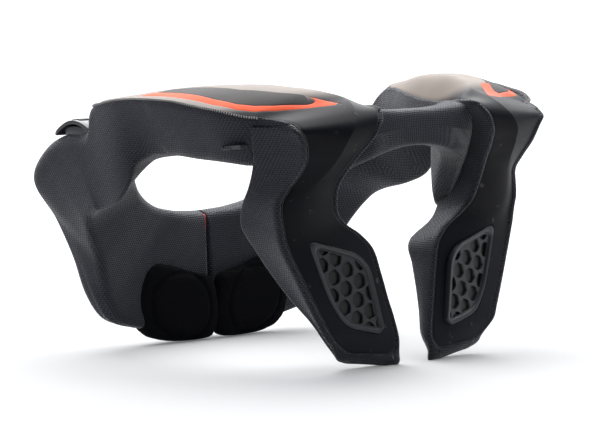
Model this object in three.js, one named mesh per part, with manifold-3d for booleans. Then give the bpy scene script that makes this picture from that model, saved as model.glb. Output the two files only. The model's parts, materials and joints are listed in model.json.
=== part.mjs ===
// Motocross neck brace: a collar of two mirrored halves, each a hard shell over a padded body.
// Millimetres, Z up. The wearer faces -Y, the wearer's left is +X, and the brace stands on Z = 0.
import * as THREE from "three";
import { mergeVertices } from "three/addons/utils/BufferGeometryUtils.js";
import Module from "manifold-3d";

// Overall sizes
const HALF_WIDTH = 154; // centre plane to the outer seam of a shoulder
const DEPTH = 250.5; // front of the chest plates to the back of the heads
const HEIGHT = 189; // floor to the crest of a shoulder

// Walls, rims and gaps
const CLEARANCE = 0.3; // between pieces that touch
const SHELL_WALL = 3; // hard shell
const SHELL_PROUD = 0.6; // shell surface above the fabric beside it
const POCKET_OPEN = 2; // height to which the fabric stays clear over the shell's place
const STRUT_RIM = 6; // fabric seen beside the strut's shell, on its outer side
const MEDIAL_RIM = 4.5; // the same on its inner side
const STRUT_RISE = 1.6; // how far that fabric stands above the shell's edge
const ROLL_RIM = 4.5; // fabric roll outside the shoulder's outer seam
const ROLL_RISE = 3; // how far that roll stands above the seam
const NECK_RIM = 2; // fabric beyond the shoulder's inner seam
const PAD_EDGE = 9; // rounding of the padded edges
const FLANGE_EDGE = 3; // rounding of the strut's sharp front edges
const SEAM_GAP = 1.8; // between the two chest plates at the centre

// Vent grille in the lower end of each strut
const VENT_WIDTH = 60;
const VENT_HEIGHT = 65;
const VENT_ACROSS = 61; // centre plane to the middle of the vent
const VENT_UP = 54.5; // floor to the middle of the vent
const VENT_RIM = 3.4;
const VENT_RIM_PROUD = 1; // rim above the honeycomb's face
const CELL_SIZE = 10.2; // across the flats of a cell
const CELL_PITCH = 12.8; // down a column
const COLUMN_PITCH = 11.1; // between columns
const CELL_WALL = 1; // least wall between a cell and the rim
const CELL_CUT = 0.05; // a cell cut by the rim is kept when this share of it lies inside
const CELL_LEAN = -10; // degrees that the columns lean towards the middle

// Chest pads, on the wearer's side of the chest plates
const PAD_WIDTH = 75;
const PAD_HEIGHT = 58;
const PAD_THICK = 13;
const PAD_STAND = 7; // how far the pad's face stands behind the plate's seam edge
const PAD_BOW = 4; // how far its outer side lies ahead of its inner side

// Strap clip on the left front, adjuster tongue under the left shoulder, release tab in the seam
const CLIP_WIDTH = 19;
const CLIP_LENGTH = 24;
const CLIP_RISE = 11;
const CLIP_THICK = 3;
const CLIP_INSET = 4; // in from the outer edge of the chest plate's top
const CLIP_SIDE = 2; // the block under the clip is this much narrower on each side
const TONGUE_LENGTH = 18;
const TONGUE_HEIGHT = 5;
const TONGUE_PROUD = 2.5;
const TAB_THICK = 1.1;
const TAB_LENGTH = 12;
const TAB_HEIGHT = 13;

// Each row is one section of the padded body: its two upper corners, how far across the crest
// lies and how high it stands over them, and its two lower corners. The lengths are shares:
// across of HALF_WIDTH, along of DEPTH and up of HEIGHT, and the crown is a share of HEIGHT.
const STRUT_ROWS = [
  { outer: [0.429, 0.908, 0.061], inner: [0.127, 0.924, 0.040], crest: 0.50, crown: 0.003,
    underInner: [0.143, 0.886, 0.016], underOuter: [0.429, 0.878, 0.042] },
  { outer: [0.500, 0.912, 0.122], inner: [0.119, 0.916, 0.101], crest: 0.50, crown: 0.005,
    underInner: [0.110, 0.870, 0.095], underOuter: [0.513, 0.884, 0.106] },
  { outer: [0.529, 0.906, 0.164], inner: [0.136, 0.910, 0.164], crest: 0.50, crown: 0.008,
    underInner: [0.123, 0.854, 0.164], underOuter: [0.545, 0.866, 0.159] },
  { outer: [0.584, 0.894, 0.251], inner: [0.162, 0.900, 0.243], crest: 0.50, crown: 0.011,
    underInner: [0.143, 0.830, 0.243], underOuter: [0.604, 0.812, 0.254] },
  { outer: [0.636, 0.882, 0.339], inner: [0.188, 0.891, 0.328], crest: 0.50, crown: 0.013,
    underInner: [0.169, 0.798, 0.328], underOuter: [0.649, 0.762, 0.349] },
  { outer: [0.686, 0.870, 0.423], inner: [0.234, 0.880, 0.429], crest: 0.45, crown: 0.016,
    underInner: [0.214, 0.766, 0.423], underOuter: [0.688, 0.730, 0.429] },
  { outer: [0.708, 0.866, 0.471], inner: [0.299, 0.874, 0.476], crest: 0.40, crown: 0.016,
    underInner: [0.390, 0.740, 0.476], underOuter: [0.714, 0.716, 0.471] },
  { outer: [0.721, 0.865, 0.519], inner: [0.390, 0.873, 0.519], crest: 0.35, crown: 0.019,
    underInner: [0.448, 0.730, 0.519], underOuter: [0.737, 0.708, 0.513] },
  { outer: [0.734, 0.866, 0.566], inner: [0.448, 0.882, 0.566], crest: 0.35, crown: 0.021,
    underInner: [0.468, 0.728, 0.566], underOuter: [0.747, 0.714, 0.561] },
  { outer: [0.730, 0.867, 0.608], inner: [0.468, 0.892, 0.619], crest: 0.38, crown: 0.026,
    underInner: [0.471, 0.730, 0.614], underOuter: [0.763, 0.734, 0.603] },
  { outer: [0.701, 0.882, 0.661], inner: [0.471, 0.904, 0.661], crest: 0.40, crown: 0.032,
    underInner: [0.464, 0.738, 0.656], underOuter: [0.786, 0.766, 0.651] },
  { outer: [0.690, 0.914, 0.714], inner: [0.455, 0.928, 0.714], crest: 0.48, crown: 0.032,
    underInner: [0.442, 0.742, 0.704], underOuter: [0.812, 0.798, 0.714] },
  { outer: [0.705, 0.946, 0.778], inner: [0.425, 0.966, 0.783], crest: 0.55, crown: 0.029,
    underInner: [0.409, 0.766, 0.767], underOuter: [0.841, 0.820, 0.778] },
  { outer: [0.734, 0.956, 0.833], inner: [0.393, 0.990, 0.836], crest: 0.60, crown: 0.026,
    underInner: [0.377, 0.798, 0.825], underOuter: [0.864, 0.830, 0.831] },
  { outer: [0.760, 0.954, 0.862], inner: [0.360, 0.994, 0.884], crest: 0.66, crown: 0.021,
    underInner: [0.351, 0.822, 0.878], underOuter: [0.883, 0.838, 0.873] },
  { outer: [0.769, 0.930, 0.886], inner: [0.331, 0.974, 0.921], crest: 0.70, crown: 0.019,
    underInner: [0.357, 0.862, 0.884], underOuter: [0.864, 0.858, 0.868] },
];
const SHOULDER_ROWS = [
  { outer: [0.825, 0.866, 0.897], inner: [0.338, 0.906, 0.931], crest: 0.84, crown: 0.037,
    underInner: [0.429, 0.838, 0.725], underOuter: [0.779, 0.838, 0.762] },
  { outer: [0.890, 0.828, 0.903], inner: [0.416, 0.822, 0.921], crest: 0.84, crown: 0.074,
    underInner: [0.468, 0.774, 0.714], underOuter: [0.831, 0.786, 0.735] },
  { outer: [0.948, 0.770, 0.921], inner: [0.461, 0.766, 0.913], crest: 0.83, crown: 0.085,
    underInner: [0.506, 0.734, 0.720], underOuter: [0.870, 0.742, 0.741] },
  { outer: [0.974, 0.710, 0.931], inner: [0.500, 0.710, 0.910], crest: 0.80, crown: 0.090,
    underInner: [0.539, 0.702, 0.725], underOuter: [0.890, 0.694, 0.746] },
  { outer: [0.994, 0.634, 0.944], inner: [0.552, 0.634, 0.910], crest: 0.76, crown: 0.082,
    underInner: [0.584, 0.634, 0.730], underOuter: [0.909, 0.634, 0.751] },
  { outer: [1.000, 0.526, 0.947], inner: [0.640, 0.526, 0.921], crest: 0.73, crown: 0.061,
    underInner: [0.643, 0.526, 0.738], underOuter: [0.922, 0.530, 0.759] },
  { outer: [0.997, 0.455, 0.943], inner: [0.714, 0.455, 0.926], crest: 0.68, crown: 0.042,
    underInner: [0.688, 0.455, 0.741], underOuter: [0.955, 0.479, 0.749] },
  { outer: [0.994, 0.399, 0.937], inner: [0.773, 0.403, 0.929], crest: 0.64, crown: 0.029,
    underInner: [0.714, 0.391, 0.733], underOuter: [0.987, 0.453, 0.704] },
  { outer: [0.987, 0.347, 0.929], inner: [0.818, 0.355, 0.929], crest: 0.60, crown: 0.021,
    underInner: [0.727, 0.343, 0.712], underOuter: [0.994, 0.435, 0.603] },
  { outer: [0.974, 0.283, 0.910], inner: [0.851, 0.291, 0.907], crest: 0.50, crown: 0.013,
    underInner: [0.734, 0.295, 0.683], underOuter: [0.974, 0.373, 0.561] },
];
const CHEST_ROWS = [
  { outer: [0.968, 0.255, 0.815], inner: [0.779, 0.255, 0.815], crest: 0.50, crown: 0.016,
    underInner: [0.688, 0.267, 0.661], underOuter: [0.958, 0.339, 0.542] },
  { outer: [0.971, 0.151, 0.804], inner: [0.701, 0.159, 0.778], crest: 0.50, crown: 0.026,
    underInner: [0.591, 0.219, 0.611], underOuter: [0.935, 0.251, 0.519] },
  { outer: [0.971, 0.071, 0.746], inner: [0.630, 0.099, 0.709], crest: 0.50, crown: 0.042,
    underInner: [0.513, 0.183, 0.574], underOuter: [0.899, 0.215, 0.471] },
  { outer: [0.951, 0.012, 0.640], inner: [0.539, 0.059, 0.624], crest: 0.50, crown: 0.058,
    underInner: [0.435, 0.159, 0.542], underOuter: [0.838, 0.195, 0.407] },
  { outer: [0.860, 0.033, 0.513], inner: [0.442, 0.047, 0.556], crest: 0.50, crown: 0.058,
    underInner: [0.370, 0.143, 0.521], underOuter: [0.773, 0.179, 0.328] },
  { outer: [0.789, 0.063, 0.349], inner: [0.357, 0.043, 0.516], crest: 0.50, crown: 0.053,
    underInner: [0.305, 0.131, 0.505], underOuter: [0.721, 0.163, 0.238] },
  { outer: [0.731, 0.077, 0.196], inner: [0.279, 0.035, 0.497], crest: 0.50, crown: 0.048,
    underInner: [0.240, 0.123, 0.495], underOuter: [0.662, 0.151, 0.153] },
  { outer: [0.662, 0.087, 0.116], inner: [0.201, 0.029, 0.487], crest: 0.50, crown: 0.037,
    underInner: [0.175, 0.123, 0.484], underOuter: [0.604, 0.147, 0.106] },
  { outer: [0.500, 0.087, 0.079], inner: [0.130, 0.027, 0.481], crest: 0.50, crown: 0.026,
    underInner: [0.117, 0.119, 0.479], underOuter: [0.487, 0.147, 0.074] },
  { outer: [0.312, 0.075, 0.058], inner: [0.058, 0.025, 0.478], crest: 0.50, crown: 0.016,
    underInner: [0.058, 0.113, 0.475], underOuter: [0.305, 0.143, 0.053] },
  { outer: [0.004, 0.055, 0.048], inner: [0.004, 0.024, 0.475], crest: 0.50, crown: 0.011,
    underInner: [0.004, 0.107, 0.474], underOuter: [0.004, 0.131, 0.042] },
];

// The bridge from its middle outwards: across is a share of HALF_WIDTH, rear and front of DEPTH,
// top and bottom of HEIGHT.
const BRIDGE_ROWS = [
  { across: 0.000, rear: 0.946, front: 0.868, top: 0.913, bottom: 0.783 },
  { across: 0.104, rear: 0.946, front: 0.864, top: 0.913, bottom: 0.778 },
  { across: 0.208, rear: 0.946, front: 0.854, top: 0.918, bottom: 0.759 },
  { across: 0.299, rear: 0.946, front: 0.826, top: 0.923, bottom: 0.730 },
  { across: 0.370, rear: 0.946, front: 0.798, top: 0.923, bottom: 0.698 },
  { across: 0.429, rear: 0.934, front: 0.774, top: 0.899, bottom: 0.656 },
];
// The fabric under the strut's lower end.
const TOE_ROW = { outer: [0.416, 0.904, 0.029], inner: [0.114, 0.924, -0.006], crest: 0.50, crown: 0.003,
  underInner: [0.123, 0.890, -0.010], underOuter: [0.416, 0.886, 0.021] };
// Where the chest plate meets the shoulder.
const SPIGOT_ROW = { outer: [0.968, 0.315, 0.836], inner: [0.851, 0.319, 0.847], crest: 0.50, crown: 0.011,
  underInner: [0.740, 0.319, 0.704], underOuter: [0.958, 0.387, 0.608] };

const wasm = await Module();
wasm.setup();

// A point from its shares of the overall sizes; the middle of the depth is Y = 0.
function place([across, along, up]) {
  return new THREE.Vector3(across * HALF_WIDTH, (along - 0.5) * DEPTH, up * HEIGHT);
}

// The corners of a section with its direction across and its direction up.
function section(row) {
  const outer = place(row.outer);
  const inner = place(row.inner);
  const underInner = place(row.underInner);
  const underOuter = place(row.underOuter);
  const across = inner.clone().sub(outer).normalize();
  const up = outer.clone().add(inner).sub(underInner).sub(underOuter).multiplyScalar(0.5);
  up.addScaledVector(across, -up.dot(across)).normalize();
  return { outer, inner, underInner, underOuter, across, up, crest: row.crest, crown: row.crown * HEIGHT };
}

// A point of the upper surface, t from 0 at the outer corner to 1 at the inner one.
function crowned(s, t) {
  const inside = Math.min(Math.max(t, 0), 1);
  const side = inside < s.crest ? inside / s.crest : (1 - inside) / (1 - s.crest);
  const point = s.outer.clone().lerp(s.inner, t);
  return point.addScaledVector(s.up, s.crown * Math.sin((Math.PI / 2) * side));
}

// The points of a rounded corner between two points beside it.
function corner(before, tip, after) {
  const bend = new THREE.QuadraticBezierCurve3(before, tip, after);
  return bend.getPoints(3);
}

function toward(a, b, distance) {
  const length = a.distanceTo(b);
  return a.clone().lerp(b, Math.min(distance / length, 0.45));
}

// The outline of the padded body at a section, rims included.
function padRing(row, rim) {
  const s = section(row);
  const width = s.outer.distanceTo(s.inner);
  const outer = s.outer.clone().addScaledVector(s.across, -rim.outer).addScaledVector(s.up, rim.rise);
  const inner = s.inner.clone().addScaledVector(s.across, rim.inner).addScaledVector(s.up, rim.innerRise);
  const { underInner, underOuter } = s;
  const topStart = Math.min(rim.topEdge / width, 0.3);
  const first = crowned(s, topStart);
  const last = crowned(s, 1 - topStart);
  const top = [0.2, 0.4, 0.6, 0.8].map((k) => crowned(s, topStart + k * (1 - 2 * topStart)));
  const innerSide = [toward(inner, underInner, rim.topEdge), toward(underInner, inner, rim.footEdge)];
  const foot = [toward(underInner, underOuter, rim.footEdge), toward(underOuter, underInner, rim.frontEdge)];
  const outerSide = [toward(underOuter, outer, rim.frontEdge), toward(outer, underOuter, rim.topEdge)];
  return [
    ...corner(outerSide[1], outer, first),
    ...top,
    ...corner(last, inner, innerSide[0]),
    innerSide[0].clone().lerp(innerSide[1], 0.5),
    ...corner(innerSide[1], underInner, foot[0]),
    foot[0].clone().lerp(foot[1], 0.5),
    ...corner(foot[1], underOuter, outerSide[0]),
    outerSide[0].clone().lerp(outerSide[1], 0.5),
  ];
}

// The outline of the hard shell at a section; room widens it into the pocket that takes it.
function shellRing(row, room) {
  const s = section(row);
  const over = room ? POCKET_OPEN : SHELL_PROUD;
  const under = SHELL_WALL + room;
  const steps = [0, 0.08, 0.22, 0.38, 0.54, 0.7, 0.82, 0.92, 1];
  const level = (lift) => steps.map((t) => {
    const slope = crowned(s, Math.min(t + 0.03, 1)).sub(crowned(s, Math.max(t - 0.03, 0)));
    const normal = s.up.clone().addScaledVector(s.across, -slope.dot(s.up) / slope.dot(s.across)).normalize();
    const side = t === 0 ? -2 * room : t === 1 ? 2 * room : 0;
    return crowned(s, t).addScaledVector(normal, lift).addScaledVector(slope.normalize(), side);
  });
  return [...level(over), ...level(-under).reverse()];
}

// Moves each point of a ring outwards in the ring's own plane.
function grown(ring, distance) {
  if (!distance) return ring;
  const middle = centroid(ring);
  const normal = new THREE.Vector3();
  ring.forEach((p, i) => {
    const a = p.clone().sub(middle);
    const b = ring[(i + 1) % ring.length].clone().sub(middle);
    normal.add(a.cross(b));
  });
  normal.normalize();
  return ring.map((p, i) => {
    const along = ring[(i + 1) % ring.length].clone().sub(ring.at(i - 1));
    return p.clone().addScaledVector(along.cross(normal).normalize(), distance);
  });
}

const centroid = (ring) => ring.reduce((sum, p) => sum.add(p), new THREE.Vector3()).divideScalar(ring.length);

// Moves the first and the last ring apart by the same distance.
function lengthened(rings, distance) {
  const shift = (ring, next) => {
    const along = centroid(ring).sub(centroid(next)).normalize();
    return ring.map((p) => p.clone().addScaledVector(along, distance));
  };
  return [shift(rings[0], rings[1]), ...rings.slice(1, -1), shift(rings.at(-1), rings.at(-2))];
}

// A closed skin over rings of equal length, with a flat fan at each end.
function loft(rings) {
  const size = rings[0].length;
  const points = rings.flat();
  const faces = [];
  for (let r = 0; r + 1 < rings.length; r += 1) {
    for (let i = 0; i < size; i += 1) {
      const a = r * size + i;
      const b = r * size + ((i + 1) % size);
      faces.push(a, b, b + size, a, b + size, a + size);
    }
  }
  const ends = [[0, 1], [rings.length - 1, -1]];
  for (const [r, turn] of ends) {
    const centre = points.length;
    points.push(centroid(rings[r]));
    for (let i = 0; i < size; i += 1) {
      const a = r * size + i;
      const b = r * size + ((i + 1) % size);
      faces.push(...(turn > 0 ? [centre, b, a] : [centre, a, b]));
    }
  }
  const geometry = new THREE.BufferGeometry().setFromPoints(points);
  geometry.setIndex(faces);
  return geometry;
}

// A geometry as a solid that can be cut; a skin that faces inwards is turned round.
function solid(geometry) {
  const bare = geometry.clone();
  bare.deleteAttribute("normal");
  bare.deleteAttribute("uv");
  const merged = mergeVertices(bare, 1e-4);
  const faces = new Uint32Array(merged.index.array);
  const made = () => new wasm.Manifold(
    new wasm.Mesh({ numProp: 3, vertProperties: merged.attributes.position.array, triVerts: faces }),
  );
  const first = made();
  if (first.volume() > 0) return first;
  faces.reverse();
  return made();
}

function geometryOf(body) {
  const { vertProperties, triVerts } = body.getMesh();
  const geometry = new THREE.BufferGeometry();
  geometry.setAttribute("position", new THREE.BufferAttribute(new Float32Array(vertProperties), 3));
  geometry.setIndex(new THREE.BufferAttribute(new Uint32Array(triVerts), 1));
  geometry.computeVertexNormals();
  return geometry;
}

// How far each body's fabric runs past its row's upper corners, how far it rises there and its roundings.
const strutRim = {
  outer: STRUT_RIM, inner: MEDIAL_RIM, rise: STRUT_RISE, innerRise: STRUT_RISE,
  topEdge: FLANGE_EDGE, footEdge: PAD_EDGE, frontEdge: FLANGE_EDGE,
};
const shoulderRim = {
  outer: ROLL_RIM, inner: NECK_RIM, rise: ROLL_RISE, innerRise: 0,
  topEdge: FLANGE_EDGE, footEdge: PAD_EDGE, frontEdge: PAD_EDGE,
};
const chestRim = {
  outer: 0, inner: 0, rise: 0, innerRise: 0,
  topEdge: PAD_EDGE, footEdge: PAD_EDGE, frontEdge: PAD_EDGE,
};

const padLoft = (rows, rim, grow = 0) => {
  return solid(loft(lengthened(rows.map((row) => grown(padRing(row, rim), grow)), 3 * grow)));
};
const shellLoft = (room) => solid(loft(lengthened(shellRows.map((row) => shellRing(row, room)), 2 * room)));

const strutRows = [TOE_ROW, ...STRUT_ROWS];
const shellRows = [...STRUT_ROWS, ...SHOULDER_ROWS.slice(0, -1)];
const chestRows = [SPIGOT_ROW, ...CHEST_ROWS];
const mirrored = (body) => solid(geometryOf(body).scale(-1, 1, 1));

const floor = solid(new THREE.BoxGeometry(4 * HALF_WIDTH, 2 * DEPTH, HEIGHT).translate(0, 0, -HEIGHT / 2));
const otherSide = solid(
  new THREE.BoxGeometry(HALF_WIDTH, 2 * DEPTH, 3 * HEIGHT).translate((SEAM_GAP - HALF_WIDTH) / 2, 0, 0),
);
const pocket = shellLoft(CLEARANCE);
const strutGrown = padLoft(strutRows, strutRim, CLEARANCE);
const shoulderGrown = padLoft(SHOULDER_ROWS, shoulderRim, CLEARANCE);

// The vent lies in the plane of the strut's lower end: x across, y up it, z out of it.
const paddleTop = crowned(section(STRUT_ROWS[5]), 0.5);
const paddleFoot = crowned(section(STRUT_ROWS[2]), 0.5);
const paddleSide = crowned(section(STRUT_ROWS[4]), 0.1);
const paddleOut = paddleFoot.clone().sub(paddleTop).cross(paddleSide.clone().sub(paddleTop)).normalize();
if (paddleOut.y < 0) paddleOut.negate();
const paddleX = new THREE.Vector3(-1, 0, 0).addScaledVector(paddleOut, paddleOut.x).normalize();
const paddleY = paddleOut.clone().cross(paddleX);
const ventOrigin = new THREE.Vector3(VENT_ACROSS, paddleTop.y, VENT_UP);
ventOrigin.y += paddleTop.clone().sub(ventOrigin).dot(paddleOut) / paddleOut.y;
const ventPlace = new THREE.Matrix4().makeBasis(paddleX, paddleY, paddleOut).setPosition(ventOrigin);

// The vent's corners, as shares of its width and height from its middle, with x towards the centre plane.
const VENT_CORNERS = [
  [-0.53, 0.54], [0.2, 0.35], [0.36, 0.2], [0.51, -0.44], [0.43, -0.5], [-0.06, -0.4], [-0.27, -0.12],
];

// An outline that runs clockwise, moved inwards, or outwards when the distance is negative.
function moved(outline, distance) {
  return outline.map((p, i) => {
    const a = p.clone().sub(outline.at(i - 1)).normalize();
    const b = outline[(i + 1) % outline.length].clone().sub(p).normalize();
    const bisector = new THREE.Vector2(-a.y - b.y, a.x + b.x).normalize();
    const reach = distance / Math.max(bisector.dot(new THREE.Vector2(-a.y, a.x)), 0.5);
    return p.clone().addScaledVector(bisector, -reach);
  });
}
function ventShape(inset) {
  const corners = VENT_CORNERS.map(([x, y]) => new THREE.Vector2(x * VENT_WIDTH, y * VENT_HEIGHT));
  const outline = moved(corners, inset);
  return outline.flatMap((p, i) => {
    const before = outline.at(i - 1);
    const after = outline[(i + 1) % outline.length];
    const radius = Math.min(VENT_WIDTH / 14, p.distanceTo(before) * 0.45, p.distanceTo(after) * 0.45);
    const from = p.clone().add(before.clone().sub(p).setLength(radius));
    const to = p.clone().add(after.clone().sub(p).setLength(radius));
    return new THREE.QuadraticBezierCurve(from, p, to).getPoints(3);
  });
}
function plate(points, from, to) {
  const geometry = new THREE.ExtrudeGeometry(new THREE.Shape(points), { depth: to - from, bevelEnabled: false });
  return solid(geometry.translate(0, 0, from).applyMatrix4(ventPlace));
}
// How far a point lies inside an outline that runs clockwise.
function insideBy(points, x, y) {
  return Math.min(...points.map((p, i) => {
    const q = points[(i + 1) % points.length];
    return ((q.y - p.y) * (x - p.x) - (q.x - p.x) * (y - p.y)) / p.distanceTo(q);
  }));
}
const ventBack = SHELL_PROUD - SHELL_WALL;
const ventField = ventShape(VENT_RIM + CELL_WALL);
const lean = THREE.MathUtils.degToRad(CELL_LEAN);
const reach = Math.ceil(VENT_HEIGHT / CELL_PITCH);
let cells = null;
for (let column = -reach; column <= reach; column += 1) {
  for (let row = -reach; row <= reach; row += 1) {
    const u = column * COLUMN_PITCH;
    const v = (row + (column % 2 ? 0.5 : 0)) * CELL_PITCH;
    const x = u * Math.cos(lean) - v * Math.sin(lean);
    const y = u * Math.sin(lean) + v * Math.cos(lean);
    if (insideBy(ventField, x, y) < CELL_SIZE * CELL_CUT) continue;
    const corners = [0, 1, 2, 3, 4, 5].map((k) => {
      const turn = lean - (k * Math.PI) / 3;
      const radius = CELL_SIZE / Math.sqrt(3);
      return new THREE.Vector2(x + radius * Math.cos(turn), y + radius * Math.sin(turn));
    });
    const cell = plate(corners, -HEIGHT / 20, HEIGHT / 20);
    cells = cells ? cells.add(cell) : cell;
  }
}
const vent = plate(ventShape(0), ventBack, SHELL_PROUD + VENT_RIM_PROUD)
  .subtract(plate(ventShape(VENT_RIM), SHELL_PROUD, HEIGHT / 20))
  .subtract(cells.intersect(plate(ventField, -HEIGHT / 20, HEIGHT / 20)));
const ventHole = plate(ventShape(-CLEARANCE), ventBack - CLEARANCE, HEIGHT / 20);
const ventRoom = plate(ventShape(-CLEARANCE), -HEIGHT / 20, HEIGHT / 20);

// Chest pad outline, as shares of its width from the seam and of its height.
const PAD_OUTLINE = [
  [0.02, 0.1], [0.07, 0.02], [0.18, 0], [0.42, 0], [0.64, 0.03], [0.86, 0.12], [0.96, 0.25], [1, 0.48],
  [0.97, 0.69], [0.88, 0.9], [0.76, 0.99], [0.63, 0.98], [0.38, 0.9], [0.15, 0.83], [0.05, 0.77], [0.02, 0.66],
];
const plateEdge = section(CHEST_ROWS.at(-1));
function chestPad(room) {
  const outline = PAD_OUTLINE.map(([x, z]) => new THREE.Vector2(x * PAD_WIDTH, z * PAD_HEIGHT)).reverse();
  const shape = new THREE.Shape(moved(outline, -room));
  const geometry = new THREE.ExtrudeGeometry(shape, { depth: PAD_THICK + 2 * room, bevelEnabled: false });
  geometry.rotateX(Math.PI / 2).translate(0, plateEdge.underOuter.y + PAD_STAND + room, 0);
  const position = geometry.getAttribute("position");
  for (let i = 0; i < position.count; i += 1) {
    const share = position.getX(i) / PAD_WIDTH;
    position.setY(i, position.getY(i) - PAD_BOW * share * share);
  }
  return solid(geometry);
}
const chestPadRoom = chestPad(CLEARANCE);

const shell = shellLoft(0).subtract(ventRoom);
const strut = padLoft(strutRows, strutRim).subtract(pocket).subtract(ventHole).subtract(floor);
const shoulder = padLoft(SHOULDER_ROWS, shoulderRim).subtract(pocket).subtract(strutGrown);
const chest = padLoft(chestRows, chestRim).subtract(shoulderGrown)
  .subtract(otherSide).subtract(floor).subtract(chestPadRoom);
const pad = chestPad(0);

// The bridge at the nape, a padded tube from one strut's head to the other.
function bridgeRing(row, side) {
  const x = side * row.across * HALF_WIDTH;
  const point = (y, z) => place([0, y, z]).setX(x);
  const loop = [
    point(row.rear, row.top), point(row.front, row.top), point(row.front, row.bottom), point(row.rear, row.bottom),
  ];
  return loop.flatMap((p, i) => {
    const before = toward(p, loop.at(i - 1), PAD_EDGE);
    const after = toward(p, loop[(i + 1) % 4], PAD_EDGE);
    return corner(before, p, after);
  });
}
const bridgeRings = [
  ...BRIDGE_ROWS.slice(1).reverse().map((row) => bridgeRing(row, 1)),
  ...BRIDGE_ROWS.map((row) => bridgeRing(row, -1)),
];
const bridge = solid(loft(bridgeRings))
  .subtract(strutGrown).subtract(mirrored(strutGrown)).subtract(shoulderGrown).subtract(mirrored(shoulderGrown))
  .subtract(pocket).subtract(mirrored(pocket));

// A block with a side profile in the YZ plane, from one X to another.
function across(profile, from, to) {
  const geometry = new THREE.ExtrudeGeometry(new THREE.Shape(profile), { depth: to - from, bevelEnabled: false });
  const turn = new THREE.Matrix4().makeBasis(
    new THREE.Vector3(0, 1, 0), new THREE.Vector3(0, 0, 1), new THREE.Vector3(1, 0, 0),
  );
  return solid(geometry.applyMatrix4(turn).translate(from, 0, 0));
}

// The strap clip on the top of the left chest plate, an arched tab over a block, in shares of its sizes.
const CLIP_TAB = [
  [-0.52, 0.02], [-0.48, 0.24], [-0.24, 0.56], [0, 0.78], [0.24, 0.92], [0.44, 1], [0.54, 0.95],
];
const clipSeat = section(CHEST_ROWS[1]).outer;
const clipPoint = ([y, z], sink = 0) => new THREE.Vector2(
  clipSeat.y + (y + 0.08) * CLIP_LENGTH, clipSeat.z + z * CLIP_RISE - sink,
);
const tabProfile = [
  ...CLIP_TAB.map((p) => clipPoint(p)),
  ...CLIP_TAB.slice(1).reverse().map(([y, z]) => clipPoint([y + 0.08, z], CLIP_THICK)),
];
const CLIP_BLOCK = [
  [-0.42, -0.9], [-0.4, 0.02], [-0.2, 0.32], [0.04, 0.56], [0.4, 0.74], [1.06, 0.74], [1.06, -0.9],
];
const blockProfile = CLIP_BLOCK.map((p) => clipPoint(p));
const clipOuter = clipSeat.x - CLIP_INSET;
const chestGrown = padLoft(chestRows, chestRim, CLEARANCE);
const clip = across(tabProfile, clipOuter - CLIP_WIDTH, clipOuter)
  .add(across(blockProfile, clipOuter - CLIP_WIDTH + CLIP_SIDE, clipOuter - CLIP_SIDE))
  .subtract(chestGrown).subtract(shoulderGrown);

// The adjuster tongue on the shoulder's outer wall, its tip forwards and its root at the strut.
const wallRow = section(SHOULDER_ROWS[2]);
const tongueRoot = wallRow.outer.y + TONGUE_LENGTH * 0.75;
const tongueUp = THREE.MathUtils.lerp(wallRow.underOuter.z, wallRow.outer.z, 0.32);
const tongueX = THREE.MathUtils.lerp(wallRow.underOuter.x, wallRow.outer.x, 0.32);
const tongueProfile = [[-1, 0], [-0.8, 0.4], [0, 0.5], [0, -0.5], [-0.7, -0.5]]
  .map(([y, z]) => new THREE.Vector2(tongueRoot + y * TONGUE_LENGTH, tongueUp + z * TONGUE_HEIGHT));
const tongue = across(tongueProfile, tongueX - TONGUE_HEIGHT, tongueX + ROLL_RIM * 0.5 + TONGUE_PROUD)
  .subtract(shoulderGrown).subtract(strutGrown);

// The release tab between the chest plates, flush with their rear edge.
const tabRear = plateEdge.underInner.y - TAB_THICK;
const tabTop = plateEdge.underInner.z - TAB_THICK;
const tab = solid(new THREE.BoxGeometry(TAB_THICK, TAB_LENGTH, TAB_HEIGHT)
  .translate(0, tabRear - TAB_LENGTH / 2, tabTop - TAB_HEIGHT / 2));

const FABRIC = { color: 0x33323a, roughness: 0.85, metalness: 0 };
const SHELL = { color: 0x23252c, roughness: 0.35, metalness: 0 };
const RUBBER = { color: 0x101114, roughness: 0.7, metalness: 0 };
const GRILLE = { color: 0x24262c, roughness: 0.3, metalness: 0 };

const brace = new THREE.Group();
function add(parent, name, body, look) {
  const mesh = new THREE.Mesh(geometryOf(body), new THREE.MeshStandardMaterial(look));
  mesh.name = name;
  parent.add(mesh);
}
for (const [side, mirror] of [["left", 1], ["right", -1]]) {
  const half = new THREE.Group();
  half.scale.x = mirror;
  brace.add(half);
  add(half, side + "_shell", shell, SHELL);
  add(half, side + "_strut_pad", strut, FABRIC);
  add(half, side + "_shoulder_pad", shoulder, FABRIC);
  add(half, side + "_chest_plate", chest, FABRIC);
  add(half, side + "_chest_pad", pad, RUBBER);
  add(half, side + "_vent", vent, GRILLE);
}
add(brace, "rear_bridge", bridge, FABRIC);
add(brace, "left_strap_clip", clip, GRILLE);
add(brace, "left_adjuster_tongue", tongue, GRILLE);
add(brace, "release_tab", tab, { color: 0xb01c18, roughness: 0.6, metalness: 0 });

export default brace;
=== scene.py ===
import json
import math
from collections import namedtuple

import bmesh
import bpy
import numpy as np
from bpy.props import FloatProperty, FloatVectorProperty, PointerProperty
from mathutils import Matrix, Vector
from mathutils.geometry import delaunay_2d_cdt

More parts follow.
